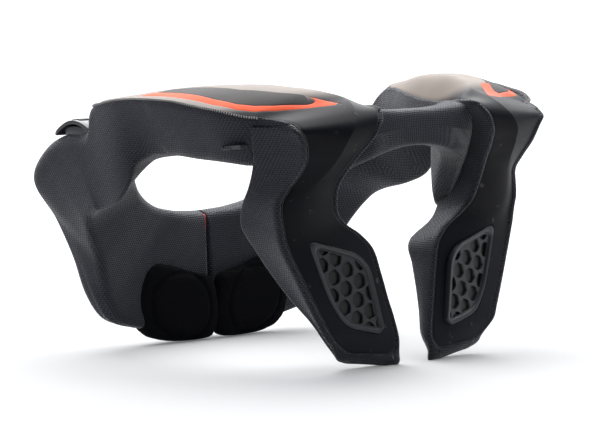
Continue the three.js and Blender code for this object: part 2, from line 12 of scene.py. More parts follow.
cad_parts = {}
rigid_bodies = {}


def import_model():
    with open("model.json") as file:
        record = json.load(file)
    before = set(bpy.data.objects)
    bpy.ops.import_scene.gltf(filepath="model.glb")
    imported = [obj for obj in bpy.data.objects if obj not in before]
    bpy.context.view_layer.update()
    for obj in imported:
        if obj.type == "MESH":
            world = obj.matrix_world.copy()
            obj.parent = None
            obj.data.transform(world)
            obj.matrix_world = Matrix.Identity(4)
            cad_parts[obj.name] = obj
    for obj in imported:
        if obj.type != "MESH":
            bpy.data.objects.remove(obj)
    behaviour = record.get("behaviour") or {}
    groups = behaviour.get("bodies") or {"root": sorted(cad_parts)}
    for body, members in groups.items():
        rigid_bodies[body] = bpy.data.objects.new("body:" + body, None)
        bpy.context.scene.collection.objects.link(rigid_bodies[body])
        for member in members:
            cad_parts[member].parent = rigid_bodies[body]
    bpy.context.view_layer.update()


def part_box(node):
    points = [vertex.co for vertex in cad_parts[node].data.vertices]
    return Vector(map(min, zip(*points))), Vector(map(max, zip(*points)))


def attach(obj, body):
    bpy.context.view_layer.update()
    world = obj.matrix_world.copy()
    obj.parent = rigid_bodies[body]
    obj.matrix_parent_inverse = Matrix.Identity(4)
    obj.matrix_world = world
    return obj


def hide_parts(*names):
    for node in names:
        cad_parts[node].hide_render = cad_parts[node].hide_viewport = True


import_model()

bl_info = {
    "name": "Neck Brace",
    "version": (1, 0, 0),
    "blender": (4, 5, 0),
    "location": "3D View > Sidebar > Neck Brace",
    "description": "A motocross neck brace with padded covers, hard shells, vents and chest pads",
    "category": "Add Mesh",
}

MM = 0.001
BODY = "root"
MIRROR = {"left": 1.0, "right": -1.0}

# Stations of one half, in millimetres: the outer and the inner upper corner, how far across the
# crest lies and how high it stands, and the inner and the outer lower corner.
Station = namedtuple("Station", "outer inner crest crown under_inner under_outer")

TOE = Station((64, 101.1, 5.5), (17.5, 106.1, -1.2), 0.5, 0.5, (19, 97.6, -1.8), (64, 96.6, 4))
STRUT = [Station(*row) for row in (
    ((66, 102.1, 11.5), (19.5, 106.1, 7.5), 0.5, 0.5, (22, 96.6, 3), (66, 94.6, 8)),
    ((77, 103.1, 23), (18.4, 104.1, 19), 0.5, 1, (17, 92.6, 18), (79, 96.1, 20)),
    ((81.5, 101.6, 31), (21, 102.6, 31), 0.5, 1.5, (19, 88.6, 31), (84, 91.6, 30)),
    ((90, 98.6, 47.5), (25, 100.1, 46), 0.5, 2, (22, 82.6, 46), (93, 78.1, 48)),
    ((98, 95.6, 64), (29, 97.8, 62), 0.5, 2.5, (26, 74.6, 62), (100, 65.6, 66)),
    ((105.7, 92.6, 80), (36, 95.1, 81), 0.45, 3, (33, 66.6, 80), (106, 57.6, 81)),
    ((109, 91.6, 89), (46, 93.6, 90), 0.4, 3, (60, 60.1, 90), (110, 54.1, 89)),
    ((111, 91.3, 98), (60, 93.4, 98), 0.35, 3.5, (69, 57.6, 98), (113.5, 52.1, 97)),
    ((113, 91.6, 107), (69, 95.6, 107), 0.35, 4, (72, 57.1, 107), (115, 53.6, 106)),
    ((112.4, 92, 115), (72, 98.1, 117), 0.38, 5, (72.5, 57.6, 116), (117.5, 58.6, 114)),
    ((108, 95.6, 125), (72.5, 101.1, 125), 0.4, 6, (71.5, 59.6, 124), (121, 66.6, 123)),
    ((106.3, 103.6, 135), (70, 107.1, 135), 0.48, 6, (68, 60.6, 133), (125, 74.6, 135)),
    ((108.6, 111.6, 147), (65.4, 116.6, 148), 0.55, 5.5, (63, 66.6, 145), (129.5, 80.1, 147)),
    ((113, 114.1, 157.5), (60.5, 122.6, 158), 0.6, 5, (58, 74.6, 156), (133, 82.6, 157)),
    ((117, 113.6, 163), (55.4, 123.6, 167), 0.66, 4, (54, 80.6, 166), (136, 84.6, 165)),
    ((118.5, 107.6, 167.5), (51, 118.6, 174), 0.7, 3.5, (55, 90.6, 167), (133, 89.6, 164)),
)]
SHOULDER = [Station(*row) for row in (
    ((127, 91.6, 169.5), (52, 101.6, 176), 0.84, 7, (66, 84.6, 137), (120, 84.6, 144)),
    ((137, 82.1, 170.7), (64, 80.6, 174), 0.84, 14, (72, 68.6, 135), (128, 71.6, 139)),
    ((146, 67.6, 174), (71, 66.6, 172.5), 0.83, 16, (78, 58.6, 136), (134, 60.6, 140)),
    ((150, 52.6, 176), (77, 52.6, 172), 0.8, 17, (83, 50.6, 137), (137, 48.6, 141)),
    ((153, 33.6, 178.5), (85, 33.6, 172), 0.76, 15.5, (90, 33.6, 138), (140, 33.6, 142)),
    ((154, 6.6, 179), (98.5, 6.6, 174), 0.73, 11.5, (99, 6.6, 139.5), (142, 7.6, 143.5)),
    ((153.5, -11.4, 178.3), (110, -11.4, 175), 0.68, 8, (106, -11.4, 140), (147, -5.4, 141.5)),
    ((153, -25.4, 177), (119, -24.4, 175.5), 0.64, 5.5, (110, -27.4, 138.5), (152, -11.9, 133)),
    ((152, -38.4, 175.5), (126, -36.4, 175.5), 0.6, 4, (112, -39.4, 134.5), (153, -16.4, 114)),
    ((150, -54.4, 172), (131, -52.4, 171.5), 0.5, 2.5, (113, -51.4, 129), (150, -31.9, 106)),
)]
# The front wall of the shoulder, down to the top of the pillar, then the pillar and the chest plate.
CHEST = [Station(*row) for row in (
    ((149.8, -56.6, 169), (130, -55.4, 168.5), 0.5, 2, (112, -53, 128.5), (149.5, -34, 105)),
    ((149.5, -58, 160), (125, -58, 159.5), 0.5, 2, (109, -55.5, 127), (148.5, -37, 104)),
    ((149, -61.4, 154), (120, -61.4, 154), 0.5, 3, (106, -58.4, 125), (147.5, -40.4, 102.5)),
    ((149.5, -87.4, 152), (108, -85.4, 147), 0.5, 5, (91, -70.4, 115.5), (144, -62.4, 98)),
    ((149.5, -107.4, 141), (97, -100.4, 134), 0.5, 8, (79, -79.4, 108.5), (138.5, -71.4, 89)),
    ((146.5, -122.4, 121), (83, -110.4, 118), 0.5, 11, (67, -85.4, 102.5), (129, -76.4, 77)),
    ((132.5, -116.9, 97), (68, -113.4, 105), 0.5, 11, (57, -89.4, 98.5), (119, -80.4, 62)),
    ((121.5, -109.4, 66), (55, -114.4, 97.5), 0.5, 10, (47, -92.4, 95.5), (111, -84.4, 45)),
    ((112.5, -105.9, 37), (43, -116.4, 94), 0.5, 9, (37, -94.4, 93.5), (102, -87.4, 29)),
    ((102, -103.4, 22), (31, -117.9, 92), 0.5, 7, (27, -94.4, 91.5), (93, -88.4, 20)),
    ((77, -103.4, 15), (20, -118.4, 91), 0.5, 5, (18, -95.4, 90.5), (75, -88.4, 14)),
    ((48, -106.4, 11), (9, -118.9, 90.3), 0.5, 3, (9, -96.9, 89.8), (47, -89.4, 10)),
    ((0.6, -111.4, 9), (0.6, -119.4, 89.8), 0.5, 2, (0.6, -98.4, 89.5), (0.6, -92.4, 8)),
)]
# The nape bridge from the middle outwards, in millimetres: across, rear at its top and at its
# bottom, front, top and bottom.
BRIDGE = (
    (0, 111.6, 111.6, 92.1, 172.5, 148), (16, 111.6, 111.6, 91.1, 172.5, 147),
    (32, 111.6, 111, 88.6, 173.5, 143.5), (44, 111.6, 108.5, 83, 174.3, 139),
    (53, 111.8, 102, 77, 174.6, 134), (60, 112, 92, 69, 174.6, 126), (65, 111.5, 82, 61, 174.5, 115),
    (68.5, 110.5, 74, 56, 174, 106), (72, 109, 70, 54, 172, 100),
)


class Spline:
    """A smooth curve through rows of numbers whose knots are distances."""

    def __init__(self, knots, values):
        self.knots = np.asarray(knots, float)
        self.values = np.asarray(values, float)
        step = np.diff(self.knots)
        slope = np.diff(self.values, axis=0) / step[:, None]
        self.slopes = np.empty_like(self.values)
        before, after = step[:-1, None], step[1:, None]
        self.slopes[1:-1] = (slope[:-1] * after + slope[1:] * before) / (before + after)
        self.slopes[0], self.slopes[-1] = slope[0], slope[-1]

    def __call__(self, at):
        i = int(np.clip(np.searchsorted(self.knots, at, side="right") - 1, 0, len(self.knots) - 2))
        step = self.knots[i + 1] - self.knots[i]
        t = (at - self.knots[i]) / step
        t2, t3 = t * t, t * t * t
        return (
            (2 * t3 - 3 * t2 + 1) * self.values[i]
            + (t3 - 2 * t2 + t) * step * self.slopes[i]
            + (3 * t2 - 2 * t3) * self.values[i + 1]
            + (t3 - t2) * step * self.slopes[i + 1]
        )


def upper_numbers(row):
    return [*row.outer, *row.inner, row.crest, row.crown]


def lower_numbers(row):
    return [*row.under_inner, *row.under_outer]


ROWS = [TOE, *STRUT, *SHOULDER, *CHEST]
MIDDLES = np.array([(np.array(r.outer) + np.array(r.inner)) / 2 for r in ROWS])
KNOTS = np.concatenate([[0], np.cumsum(np.linalg.norm(np.diff(MIDDLES, axis=0), axis=1))])
STRUT_END = len(STRUT)
SHOULDER_END = STRUT_END + len(SHOULDER)
UPPER = Spline(KNOTS, [upper_numbers(r) for r in ROWS])
STRUT_LOWER = Spline(KNOTS[:STRUT_END + 1], [lower_numbers(r) for r in ROWS[:STRUT_END + 1]])
BODY_LOWER = Spline(KNOTS[STRUT_END + 1:], [lower_numbers(r) for r in ROWS[STRUT_END + 1:]])
HEAD = KNOTS[STRUT_END]
SHOULDER_START = KNOTS[STRUT_END + 1]
SHELL_START = KNOTS[1] - 0.5
SHELL_STOP = KNOTS[SHOULDER_END] - 4.5
BODY_STOP = KNOTS[-1]
HEAD_FEET = np.array([60, 97, 152, 118, 100, 150], float)

SHELL_LIFT = 0.6  # shell surface above the ribbon's upper side
SHELL_WALL = 2.6
SHELL_BEVEL = 0.9
POCKET = 2.4  # depth of the recess under the shell
GAP = 0.3  # between the shell and what lies round it
TOE_ROUND = 9.0  # corners of the shell's lower end
FRONT_ROUND = 13.0  # corners of its front end
TOE_CAP = 5.5  # rounding of the closed end of a strut cover
CHEST_CAP = 3.5  # and of a body cover
COVER_STEP = 2.2  # between sections of a cover
SHELL_STEP = 2.0  # between sections of a shell
RESTING = 0.05  # least height of a soft piece over the floor


def between(value, low, high):
    """0 at low and 1 at high, smooth in between."""
    t = min(max((value - low) / (high - low), 0.0), 1.0)
    return t * t * (3 - 2 * t)


def mix(a, b, t):
    return a + (b - a) * t


class Section:
    """One section of the ribbon: its corners, its crowned upper side and its directions."""

    def __init__(self, at):
        f = UPPER(at)
        self.at = at
        self.outer, self.inner, self.crest, self.crown = f[0:3], f[3:6], f[6], f[7]
        span = self.inner - self.outer
        self.width = np.linalg.norm(span)
        self.across = span / self.width
        share = (at - HEAD) / (SHOULDER_START - HEAD)
        strut = STRUT_LOWER(min(at, HEAD))
        body = BODY_LOWER(max(at, SHOULDER_START))
        lower = strut if share <= 0 else body if share >= 1 else mix(HEAD_FEET, body, share)
        self.under_inner, self.under_outer = lower[0:3], lower[3:6]
        self.up = mix(self.upward(strut), self.upward(body), between(share, 0, 1))
        self.up /= np.linalg.norm(self.up)
        self.fold = between(at, HEAD - 62, HEAD - 34) * (1 - between(at, HEAD + 2, HEAD + 26))

    def upward(self, lower):
        """The direction out of the upper side, over these lower corners."""
        up = (self.outer + self.inner - lower[0:3] - lower[3:6]) / 2
        up -= self.across * up.dot(self.across)
        return up / np.linalg.norm(up)

    def top(self, x, lift=0.0):
        """A point of the upper side, x millimetres from the outer corner."""
        t = min(max(x / self.width, 0.0), 1.0)
        side = t / self.crest if t < self.crest else (1 - t) / (1 - self.crest)
        height = mix(math.sin(math.pi / 2 * side), min(side, 1.06 - 0.2 * (1.06 - side)), self.fold)
        return self.outer + self.across * x + self.up * (self.crown * height + lift)

    def corner_inset(self):
        """How far the shell's long edges draw in towards its rounded ends."""
        inset = 0.0
        for end, radius in ((self.at - SHELL_START, TOE_ROUND), (SHELL_STOP - self.at, FRONT_ROUND)):
            d = min(max(end, 0.0), radius)
            inset = max(inset, radius - math.sqrt(radius ** 2 - (radius - d) ** 2))
        return inset


# Width and rise of the fabric rolls on the strut, on the shoulder and at the shell's front end
OUTER_ROLL = (6.0, 1.4), (4.5, 2.6), (1.8, 0.2)
INNER_ROLL = (4.5, 1.4), (2.6, 0.5), (2.6, 0.1)


def rims(at):
    """Width and rise of the fabric roll on the outer and the inner edge."""
    shoulder = between(at, HEAD - 6, SHOULDER_START + 12)
    front = between(at, SHELL_STOP - 30, SHELL_STOP + 4)
    return [[mix(mix(a, b, shoulder), c, front) for a, b, c in zip(*roll)] for roll in (OUTER_ROLL, INNER_ROLL)]


def bent(before, tip, after, count):
    """Points of a rounded corner."""
    out = []
    for k in range(count):
        t = k / (count - 1)
        out.append((1 - t) ** 2 * before + 2 * t * (1 - t) * tip + t * t * after)
    return out


def toward(a, b, distance, limit=0.45):
    """The point a distance from a on the way to b, at most the limit's share of the way."""
    length = np.linalg.norm(b - a)
    return a + (b - a) * min(distance / max(length, 1e-6), limit)


# Points of a cover's outline, in its order
FOOT_POINTS = 4
BEND_POINTS = 6
OUTER_WALL_POINTS = 14
ROLL_POINTS = 10
TOP_POINTS = 22
INNER_WALL_POINTS = 12
OUTER_ROLL_FIRST = 1 + FOOT_POINTS + BEND_POINTS + OUTER_WALL_POINTS
INNER_WALL_FIRST = OUTER_ROLL_FIRST + 2 * ROLL_POINTS + TOP_POINTS

ROLL_FOOT = -1.6  # where a roll starts, under the ribbon's upper side
ROLL_FULLNESS = 0.8
POCKET_EDGE = (-0.1, 1.2)  # the pocket's wall and the first point of its floor, in from the shell's edge
TOP_START = 1.8
EDGE_ROUND = (3.0, 11.0)  # rounding of the plain edges, on the pillar and on the chest plate
FOOT_ROUND = {"inner": 9.0, "strut": 2.6, "body": 8.0}
BULGE = {"inner": 0.6, "strut": -1.2, "body": 0.8}  # how far the side walls swell
TOE_SWELL = 1.4
TOE_LENGTH = 4.5


def upper_edge(s, wall_foot, side, rim, pocket, roll, radius):
    """From the side wall over the edge: the fabric roll beside the shell, or a plain rounding."""
    width, rise = rim
    inset = s.corner_inset()
    x_of = (lambda d: d) if side == "outer" else (lambda d: s.width - d)
    hollow = inset - GAP
    middle, half = (hollow - width) / 2, (hollow + width) / 2
    rolled = []
    for k in range(ROLL_POINTS - 2):
        turn = math.pi * (1 - k / (ROLL_POINTS - 3))
        x = middle + half * math.cos(turn)
        base = ROLL_FOOT if turn > math.pi / 2 else ROLL_FOOT * pocket
        rolled.append(s.top(x_of(x), base + (rise - base) * math.sin(turn) ** ROLL_FULLNESS))
    rolled += [s.top(x_of(inset + d), -POCKET) for d in POCKET_EDGE]
    tip = s.top(x_of(-width * 0.4), 0.0)
    plain = bent(toward(tip, wall_foot, radius), tip, s.top(x_of(radius)), ROLL_POINTS)
    shares = [roll] * (ROLL_POINTS - 2) + [pocket] * 2
    return [mix(a, b, share) for a, b, share in zip(plain, rolled, shares)]


def fabric_ring(at, strut):
    """The outline of the padded cover at a distance along the ribbon."""
    s = Section(at)
    outer_rim, inner_rim = rims(at)
    kind = "strut" if strut else "body"
    pocket = min(between(at, SHELL_START - 0.7, SHELL_START - 0.2),
                 1 - between(at, SHELL_STOP + 0.2, SHELL_STOP + 0.7))
    radius = mix(*EDGE_ROUND, between(at, KNOTS[SHOULDER_END] + 4, KNOTS[SHOULDER_END] + 26))
    over = TOE_SWELL * between(at, 0, TOE_LENGTH) if at < SHELL_START else 0.0
    roll = 1.0 if strut else 1 - between(at, SHELL_STOP + 0.2, SHELL_STOP + 22)
    outer_side = upper_edge(s, s.under_outer, "outer", outer_rim, pocket, roll, radius)
    inner_side = upper_edge(s, s.under_inner, "inner", inner_rim, pocket, roll, radius)[::-1]
    inset = s.corner_inset() if pocket > 0 else 0
    start = mix(radius, inset + TOP_START, pocket)
    xs = np.linspace(start, s.width - start, TOP_POINTS)
    top = [s.top(x, mix(over, -POCKET, pocket)) for x in xs]
    foot_in = toward(s.under_inner, s.under_outer, FOOT_ROUND["inner"])
    foot_out = toward(s.under_outer, s.under_inner, FOOT_ROUND[kind])
    side_in = toward(s.under_inner, inner_side[-1], FOOT_ROUND["inner"])
    side_out = toward(s.under_outer, outer_side[0], FOOT_ROUND[kind])

    def wall(a, b, count, out=0):
        shares = [k / (count + 1) for k in range(1, count + 1)]
        return [mix(a, b, share) + out * math.sin(math.pi * share) for share in shares]

    middle = (foot_in + foot_out) / 2
    return np.array([
        middle,
        *wall(middle, foot_out, FOOT_POINTS),
        *bent(foot_out, s.under_outer, side_out, BEND_POINTS),
        *wall(side_out, outer_side[0], OUTER_WALL_POINTS, -s.across * BULGE[kind]),
        *outer_side,
        *top,
        *inner_side,
        *wall(inner_side[-1], side_in, INNER_WALL_POINTS, s.across * BULGE["inner"]),
        *bent(side_in, s.under_inner, foot_in, BEND_POINTS),
        *wall(foot_in, middle, FOOT_POINTS),
    ])


def shrunk(ring, s, inset):
    """A ring drawn in by the same distance across and up, for a rounded end."""
    middle = ring.mean(axis=0)
    local = ring - middle
    x, z = local @ s.across, local @ s.up
    rest = local - np.outer(x, s.across) - np.outer(z, s.up)
    x, z = (v * (1 - inset / max(np.ptp(v) / 2, inset * 1.2 + 1e-6)) for v in (x, z))
    return middle + np.outer(x, s.across) + np.outer(z, s.up) + rest


LEAST_STEP = 0.09


def marks(start, stop, step, extra=()):
    """Distances from start to stop about a step apart, with the ones asked for."""
    count = max(2, int(round((stop - start) / step)) + 1)
    found = sorted([*np.linspace(start, stop, count), *(e for e in extra if start < e < stop)])
    kept = [found[0]]
    for value in found[1:]:
        if value - kept[-1] > LEAST_STEP:
            kept.append(value)
    return kept


def shell_end_marks(shares):
    """Distances where the shell's ends curve, at these shares of their corners' radii."""
    return [edge + share * reach for edge, reach in ((SHELL_START, TOE_ROUND), (SHELL_STOP, -FRONT_ROUND))
            for share in shares]


# Meshes

def link(name, mesh):
    """A new object on the mesh, in the scene."""
    obj = bpy.data.objects.new(name, mesh)
    bpy.context.scene.collection.objects.link(obj)
    return obj


def bake(obj):
    """The object's modifiers applied to its mesh, which keeps its name."""
    bpy.context.view_layer.update()
    made = bpy.data.meshes.new_from_object(obj.evaluated_get(bpy.context.evaluated_depsgraph_get()))
    obj.modifiers.clear()
    name, obj.data = obj.data.name, made
    made.name = name


def mesh_from(name, points, faces, side="left", uvs=None, sharp=None, fields=None):
    """A closed mesh from points in millimetres of the left half, mirrored for the right one."""
    sign = MIRROR.get(side, 1.0)
    points = np.asarray(points, float) * MM
    points[:, 0] *= sign
    order = (lambda f: f) if sign > 0 else (lambda f: f[::-1])
    mesh = bpy.data.meshes.new(name)
    mesh.from_pydata(points.tolist(), [], [list(order(f)) for f in faces])
    if uvs is not None:
        layer = mesh.uv_layers.new(name="weave")
        flat = []
        for face in uvs:
            flat.extend(order(face))
        layer.data.foreach_set("uv", np.asarray(flat, float).ravel())
    for key, values in (fields or {}).items():
        mesh.attributes.new(key, "FLOAT", "POINT").data.foreach_set("value", np.asarray(values, float))
    mesh.validate()
    mesh.update()
    bm = bmesh.new()
    bm.from_mesh(mesh)
    bmesh.ops.recalc_face_normals(bm, faces=bm.faces)
    if bm.calc_volume(signed=True) < 0:
        bmesh.ops.reverse_faces(bm, faces=bm.faces)
    bm.to_mesh(mesh)
    bm.free()
    mesh.shade_smooth()
    if sharp:
        mesh.set_sharp_from_angle(angle=math.radians(sharp))
    return mesh


def loft(rings):
    """Points, faces and weave coordinates of a closed tube through the rings."""
    rings = [np.asarray(r, float) for r in rings]
    count = len(rings[0])
    points = np.concatenate(rings)
    faces, uvs = [], []
    along = np.concatenate([[np.zeros(count)], np.cumsum(
        [np.linalg.norm(b - a, axis=1) for a, b in zip(rings, rings[1:])], axis=0)])
    middle = along.mean(axis=1)
    along = mix(middle[:, None], along, 0.5)
    around = []
    for ring in rings:
        steps = np.linalg.norm(np.roll(ring, -1, axis=0) - ring, axis=1)
        around.append(np.concatenate([[0], np.cumsum(steps)]))
    for i in range(len(rings) - 1):
        for j in range(count):
            k = (j + 1) % count
            faces.append((i * count + j, i * count + k, (i + 1) * count + k, (i + 1) * count + j))
            uvs.append(((along[i][j], around[i][j]), (along[i][k], around[i][j + 1]),
                        (along[i + 1][k], around[i + 1][j + 1]), (along[i + 1][j], around[i + 1][j])))
    for i, back in ((0, False), (len(rings) - 1, True)):
        middle = len(points)
        points = np.vstack([points, rings[i].mean(axis=0)])
        local = rings[i] - rings[i].mean(axis=0)
        for j in range(count):
            a, b = (j, (j + 1) % count) if back else ((j + 1) % count, j)
            faces.append((i * count + a, i * count + b, middle))
            uvs.append(((local[a][0], local[a][2]), (local[b][0], local[b][2]), (0, 0)))
    return points, faces, uvs


def woven(tube):
    """The tube with its weave laid flat on each side, along the axes that the side faces least."""
    points, faces, _ = tube
    points = np.asarray(points)
    uvs = []
    for face in faces:
        corners = points[list(face)]
        normal = np.abs(np.cross(corners[2] - corners[0], corners[-1] - corners[1 if len(face) > 3 else 0]))
        kept = [axis for axis in range(3) if axis != int(normal.argmax())]
        uvs.append([tuple(corner[kept]) for corner in corners])
    return points, faces, uvs


def finish_piece(obj, replaced, material=None):
    """Material, body and the solids that the piece stands for."""
    if material is not None:
        obj.data.materials.append(material)
    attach(obj, BODY)
    if replaced:
        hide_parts(*replaced)


SOFT_REACH = 11.0  # length along the ribbon over which a section is evened out
SOFT_END = (50, 70)  # past the shell's end, where the softening fades out
WALL_FADE = (0.75, 0.5, 0.25)  # its share on the points between a wall and the upper side
RELAX_ROUNDS = 90
RELAX_SHARE = 0.6
RELAX_COLUMNS = 8, OUTER_ROLL_FIRST + 1


def nearness(at):
    """How much each section counts for each other one."""
    return np.exp(-((at[:, None] - at[None, :]) / SOFT_REACH) ** 2) * np.gradient(at)[None, :]


def softened(rings, distances):
    """The rings evened out along the path, where the shoulder turns down past the shell's end."""
    at = np.array(distances)
    fade = len(WALL_FADE)
    wall = np.ones(rings.shape[1])
    wall[OUTER_ROLL_FIRST:OUTER_ROLL_FIRST + fade] = WALL_FADE
    wall[OUTER_ROLL_FIRST + fade:INNER_WALL_FIRST - 1] = 0.0
    wall[INNER_WALL_FIRST - 1:INNER_WALL_FIRST - 1 + fade] = WALL_FADE[::-1]
    even_at = at.copy()
    first, last = np.searchsorted(at, [SHELL_STOP - 30, SHELL_STOP + 24])
    even_at[first:last + 1] = np.linspace(at[first], at[last], last - first + 1)
    for j in np.nonzero(wall)[0]:
        spread = mix(at, even_at, wall[j])
        rings[:, j] = np.stack([np.interp(spread, at, rings[:, j, k]) for k in range(3)], axis=1)
    past = nearness(at) * (at > SHELL_STOP + 1)[None, :] + 1e-9
    for weights, begin, end, part in ((nearness(even_at), -24, -8, wall), (past, 1, 12, 1 - wall)):
        even = np.einsum("ik,kjc->ijc", weights / weights.sum(axis=1, keepdims=True), rings)
        share = np.array([between(a, begin, end) * (1 - between(a, *SOFT_END)) for a in at - SHELL_STOP])
        rings = rings + (even - rings) * share[:, None, None] * part[None, :, None]
    return rings


def relaxed(rings, distances):
    """The points of the outer wall spread evenly where its rings crowd together at the turn."""
    low, high = RELAX_COLUMNS
    first, last = np.searchsorted(distances, [SHELL_STOP - 62, SHELL_STOP + 40])
    for _ in range(RELAX_ROUNDS):
        inner = rings[first:last, low:high]
        around = (rings[first - 1:last - 1, low:high] + rings[first + 1:last + 1, low:high]
                  + rings[first:last, low - 1:high - 1] + rings[first:last, low + 1:high + 1]) / 4
        rings[first:last, low:high] = mix(inner, around, RELAX_SHARE)
    return rings


def cover_rings(start, stop, strut, radius):
    """The outlines of a padded cover; a strut's is rounded at its start, a body's at its stop."""
    end, inward = (start, 1) if strut else (stop, -1)
    extra = [end + inward * radius * (1 - math.cos(math.pi / 2 * k / 5)) for k in range(6)]
    extra += shell_end_marks((0.02, 0.06, 0.12, 0.22, 0.36, 0.55))
    extra += [edge + d for edge, out in ((SHELL_START, -1), (SHELL_STOP, 1))
              for d in (out * 0.15, out * 0.4, out * 0.75)]
    rings, distances = [], marks(start, stop, COVER_STEP, extra)
    for at in distances:
        ring = fabric_ring(at, strut)
        far = abs(at - end)
        if far < radius:
            drawn = radius - math.sqrt(max(radius ** 2 - (radius - far) ** 2, 0))
            ring = shrunk(ring, Section(at), drawn)
        rings.append(ring)
    rings = np.array(rings)
    if not strut:
        rings = relaxed(softened(rings, distances), distances)
    rings[:, :, 2] = np.maximum(rings[:, :, 2], RESTING)
    return rings


SHELL_COLUMNS = 32
CREST = 15  # the column on the crest
CREST_RANGE = (0.2, 0.85)
BEVEL_STEP = 0.25 * SHELL_BEVEL


def shell_ring(at, thin):
    """The outline of the hard shell: its upper skin, its bevelled edges and its underside."""
    s = Section(at)
    a = s.corner_inset() + GAP
    b = s.width - a
    lift, low = SHELL_LIFT - thin, -(SHELL_WALL - SHELL_LIFT) + thin
    crest = (s.crest * s.width - a - SHELL_BEVEL) / (b - a - 2 * SHELL_BEVEL)
    crest = min(max(crest, CREST_RANGE[0]), CREST_RANGE[1])
    columns = np.concatenate([np.linspace(0, crest, CREST + 1), np.linspace(crest, 1, SHELL_COLUMNS - CREST)[1:]])
    top = [s.top(mix(a + SHELL_BEVEL, b - SHELL_BEVEL, c), lift) for c in columns]
    right = [s.top(b - BEVEL_STEP, lift - BEVEL_STEP), s.top(b, lift - SHELL_BEVEL), s.top(b, low)]
    left = [s.top(a, low), s.top(a, lift - SHELL_BEVEL), s.top(a + BEVEL_STEP, lift - BEVEL_STEP)]
    under = [s.top(mix(b - 0.5, a + 0.5, c), low) for c in columns[1:-1:3]]
    return np.array([*top, *right, *under, *left])


# The orange stripe and the darker inlay on the shells, in plan
STRIPE_OUTER = [(144.2, -12), (144.6, 12), (145.2, 28), (143.2, 45.6), (142, 57), (136.8, 73), (128.4, 82.4),
                (117.4, 89), (94.2, 99.3)]
STRIPE_INNER = [(92.2, 96.9), (114.9, 86), (124.9, 78.4), (132.4, 69), (136.3, 51), (137.5, 27.3),
                (137.4, 8.8), (137.3, -5.6), (142.4, -12)]
STRIPE_FLOOR = 152.0  # least height of both on the shells
EDGE = 1.0  # value of the stripe and inlay fields on their outlines
OUTSIDE = -30.0  # and their value under that height
STRIPE = {
    "left": [*STRIPE_OUTER, (80, 104.8), (71, 108.2), (75.5, 102.8), (88.9, 88.8), (84.8, 96.6), *STRIPE_INNER],
    "right": [*STRIPE_OUTER, (88.7, 103.3), (69.5, 109.5), (84, 88), (98.6, 83), (92, 92), *STRIPE_INNER],
}
INLAY = [(88.9, 89.3), (100.6, 77.6), (115.6, 55), (122, 23.5), (128, 4), (137.4, -4), (137.5, 27.3),
         (136.3, 51), (132.4, 69), (124.9, 78.4), (114.9, 86), (92.2, 96.9)]


def inside_by(point, polygon):
    """Distance to a closed outline, positive inside it."""
    best, inside = 1e9, False
    for (x0, y0), (x1, y1) in zip(polygon, polygon[1:] + polygon[:1]):
        dx, dy = x1 - x0, y1 - y0
        t = min(max(((point[0] - x0) * dx + (point[1] - y0) * dy) / (dx * dx + dy * dy), 0), 1)
        best = min(best, math.hypot(point[0] - x0 - t * dx, point[1] - y0 - t * dy))
        if (y0 > point[1]) != (y1 > point[1]) and point[0] < (x1 - x0) * (point[1] - y0) / (y1 - y0) + x0:
            inside = not inside
    return best if inside else -best


# Vent frame and outlines

VENT_SIZE = (60.0, 65.0)
VENT_MIDDLE = (61.0, 54.5)
VENT_CORNERS = [
    (-0.53, 0.54), (0.2, 0.35), (0.36, 0.2), (0.51, -0.44), (0.43, -0.5), (-0.06, -0.4), (-0.27, -0.12)]
VENT_ROUND = 9.0


def row_top(row, t):
    """The point of a station's crowned upper side at a share of the way from its outer corner."""
    outer, inner = np.array(row.outer, float), np.array(row.inner, float)
    up = outer + inner - np.array(row.under_inner) - np.array(row.under_outer)
    across = (inner - outer) / np.linalg.norm(inner - outer)
    up -= across * up.dot(across)
    side = t / row.crest if t < row.crest else (1 - t) / (1 - row.crest)
    return mix(outer, inner, t) + up / np.linalg.norm(up) * row.crown * math.sin(math.pi / 2 * side)


def vent_frame():
    """Origin and directions of the plane in which the vent lies: across, up the strut and out."""
    top, foot, side = row_top(STRUT[5], 0.5), row_top(STRUT[2], 0.5), row_top(STRUT[4], 0.1)
    out = np.cross(foot - top, side - top)
    out /= np.linalg.norm(out)
    if out[1] < 0:
        out = -out
    x = np.array([-1.0, 0, 0]) + out * out[0]
    x /= np.linalg.norm(x)
    y = np.cross(out, x)
    origin = np.array([VENT_MIDDLE[0], top[1], VENT_MIDDLE[1]])
    origin[1] += (top - origin).dot(out) / out[1]
    return origin, x, y, out


def moved(outline, distance):
    """A clockwise outline moved inwards."""
    points = []
    for i, p in enumerate(outline):
        a = np.subtract(p, outline[i - 1])
        b = np.subtract(outline[(i + 1) % len(outline)], p)
        a, b = a / np.linalg.norm(a), b / np.linalg.norm(b)
        n = np.array([-a[1] - b[1], a[0] + b[0]])
        n /= np.linalg.norm(n)
        points.append(tuple(np.array(p) - n * distance / max(n.dot((-a[1], a[0])), 0.5)))
    return points


def vent_outline(inset):
    """The vent's rounded outline in its plane, drawn in by the inset."""
    corners = moved([(x * VENT_SIZE[0], y * VENT_SIZE[1]) for x, y in VENT_CORNERS], inset)
    points = []
    for i, p in enumerate(corners):
        before, p, after = (np.array(q) for q in (corners[i - 1], p, corners[(i + 1) % len(corners)]))
        radius = min(VENT_ROUND, np.linalg.norm(p - before) * 0.45, np.linalg.norm(p - after) * 0.45)
        start, stop = toward(p, before, radius, 1), toward(p, after, radius, 1)
        points += [tuple(q) for q in bent(start, p, stop, 6)]
    return points


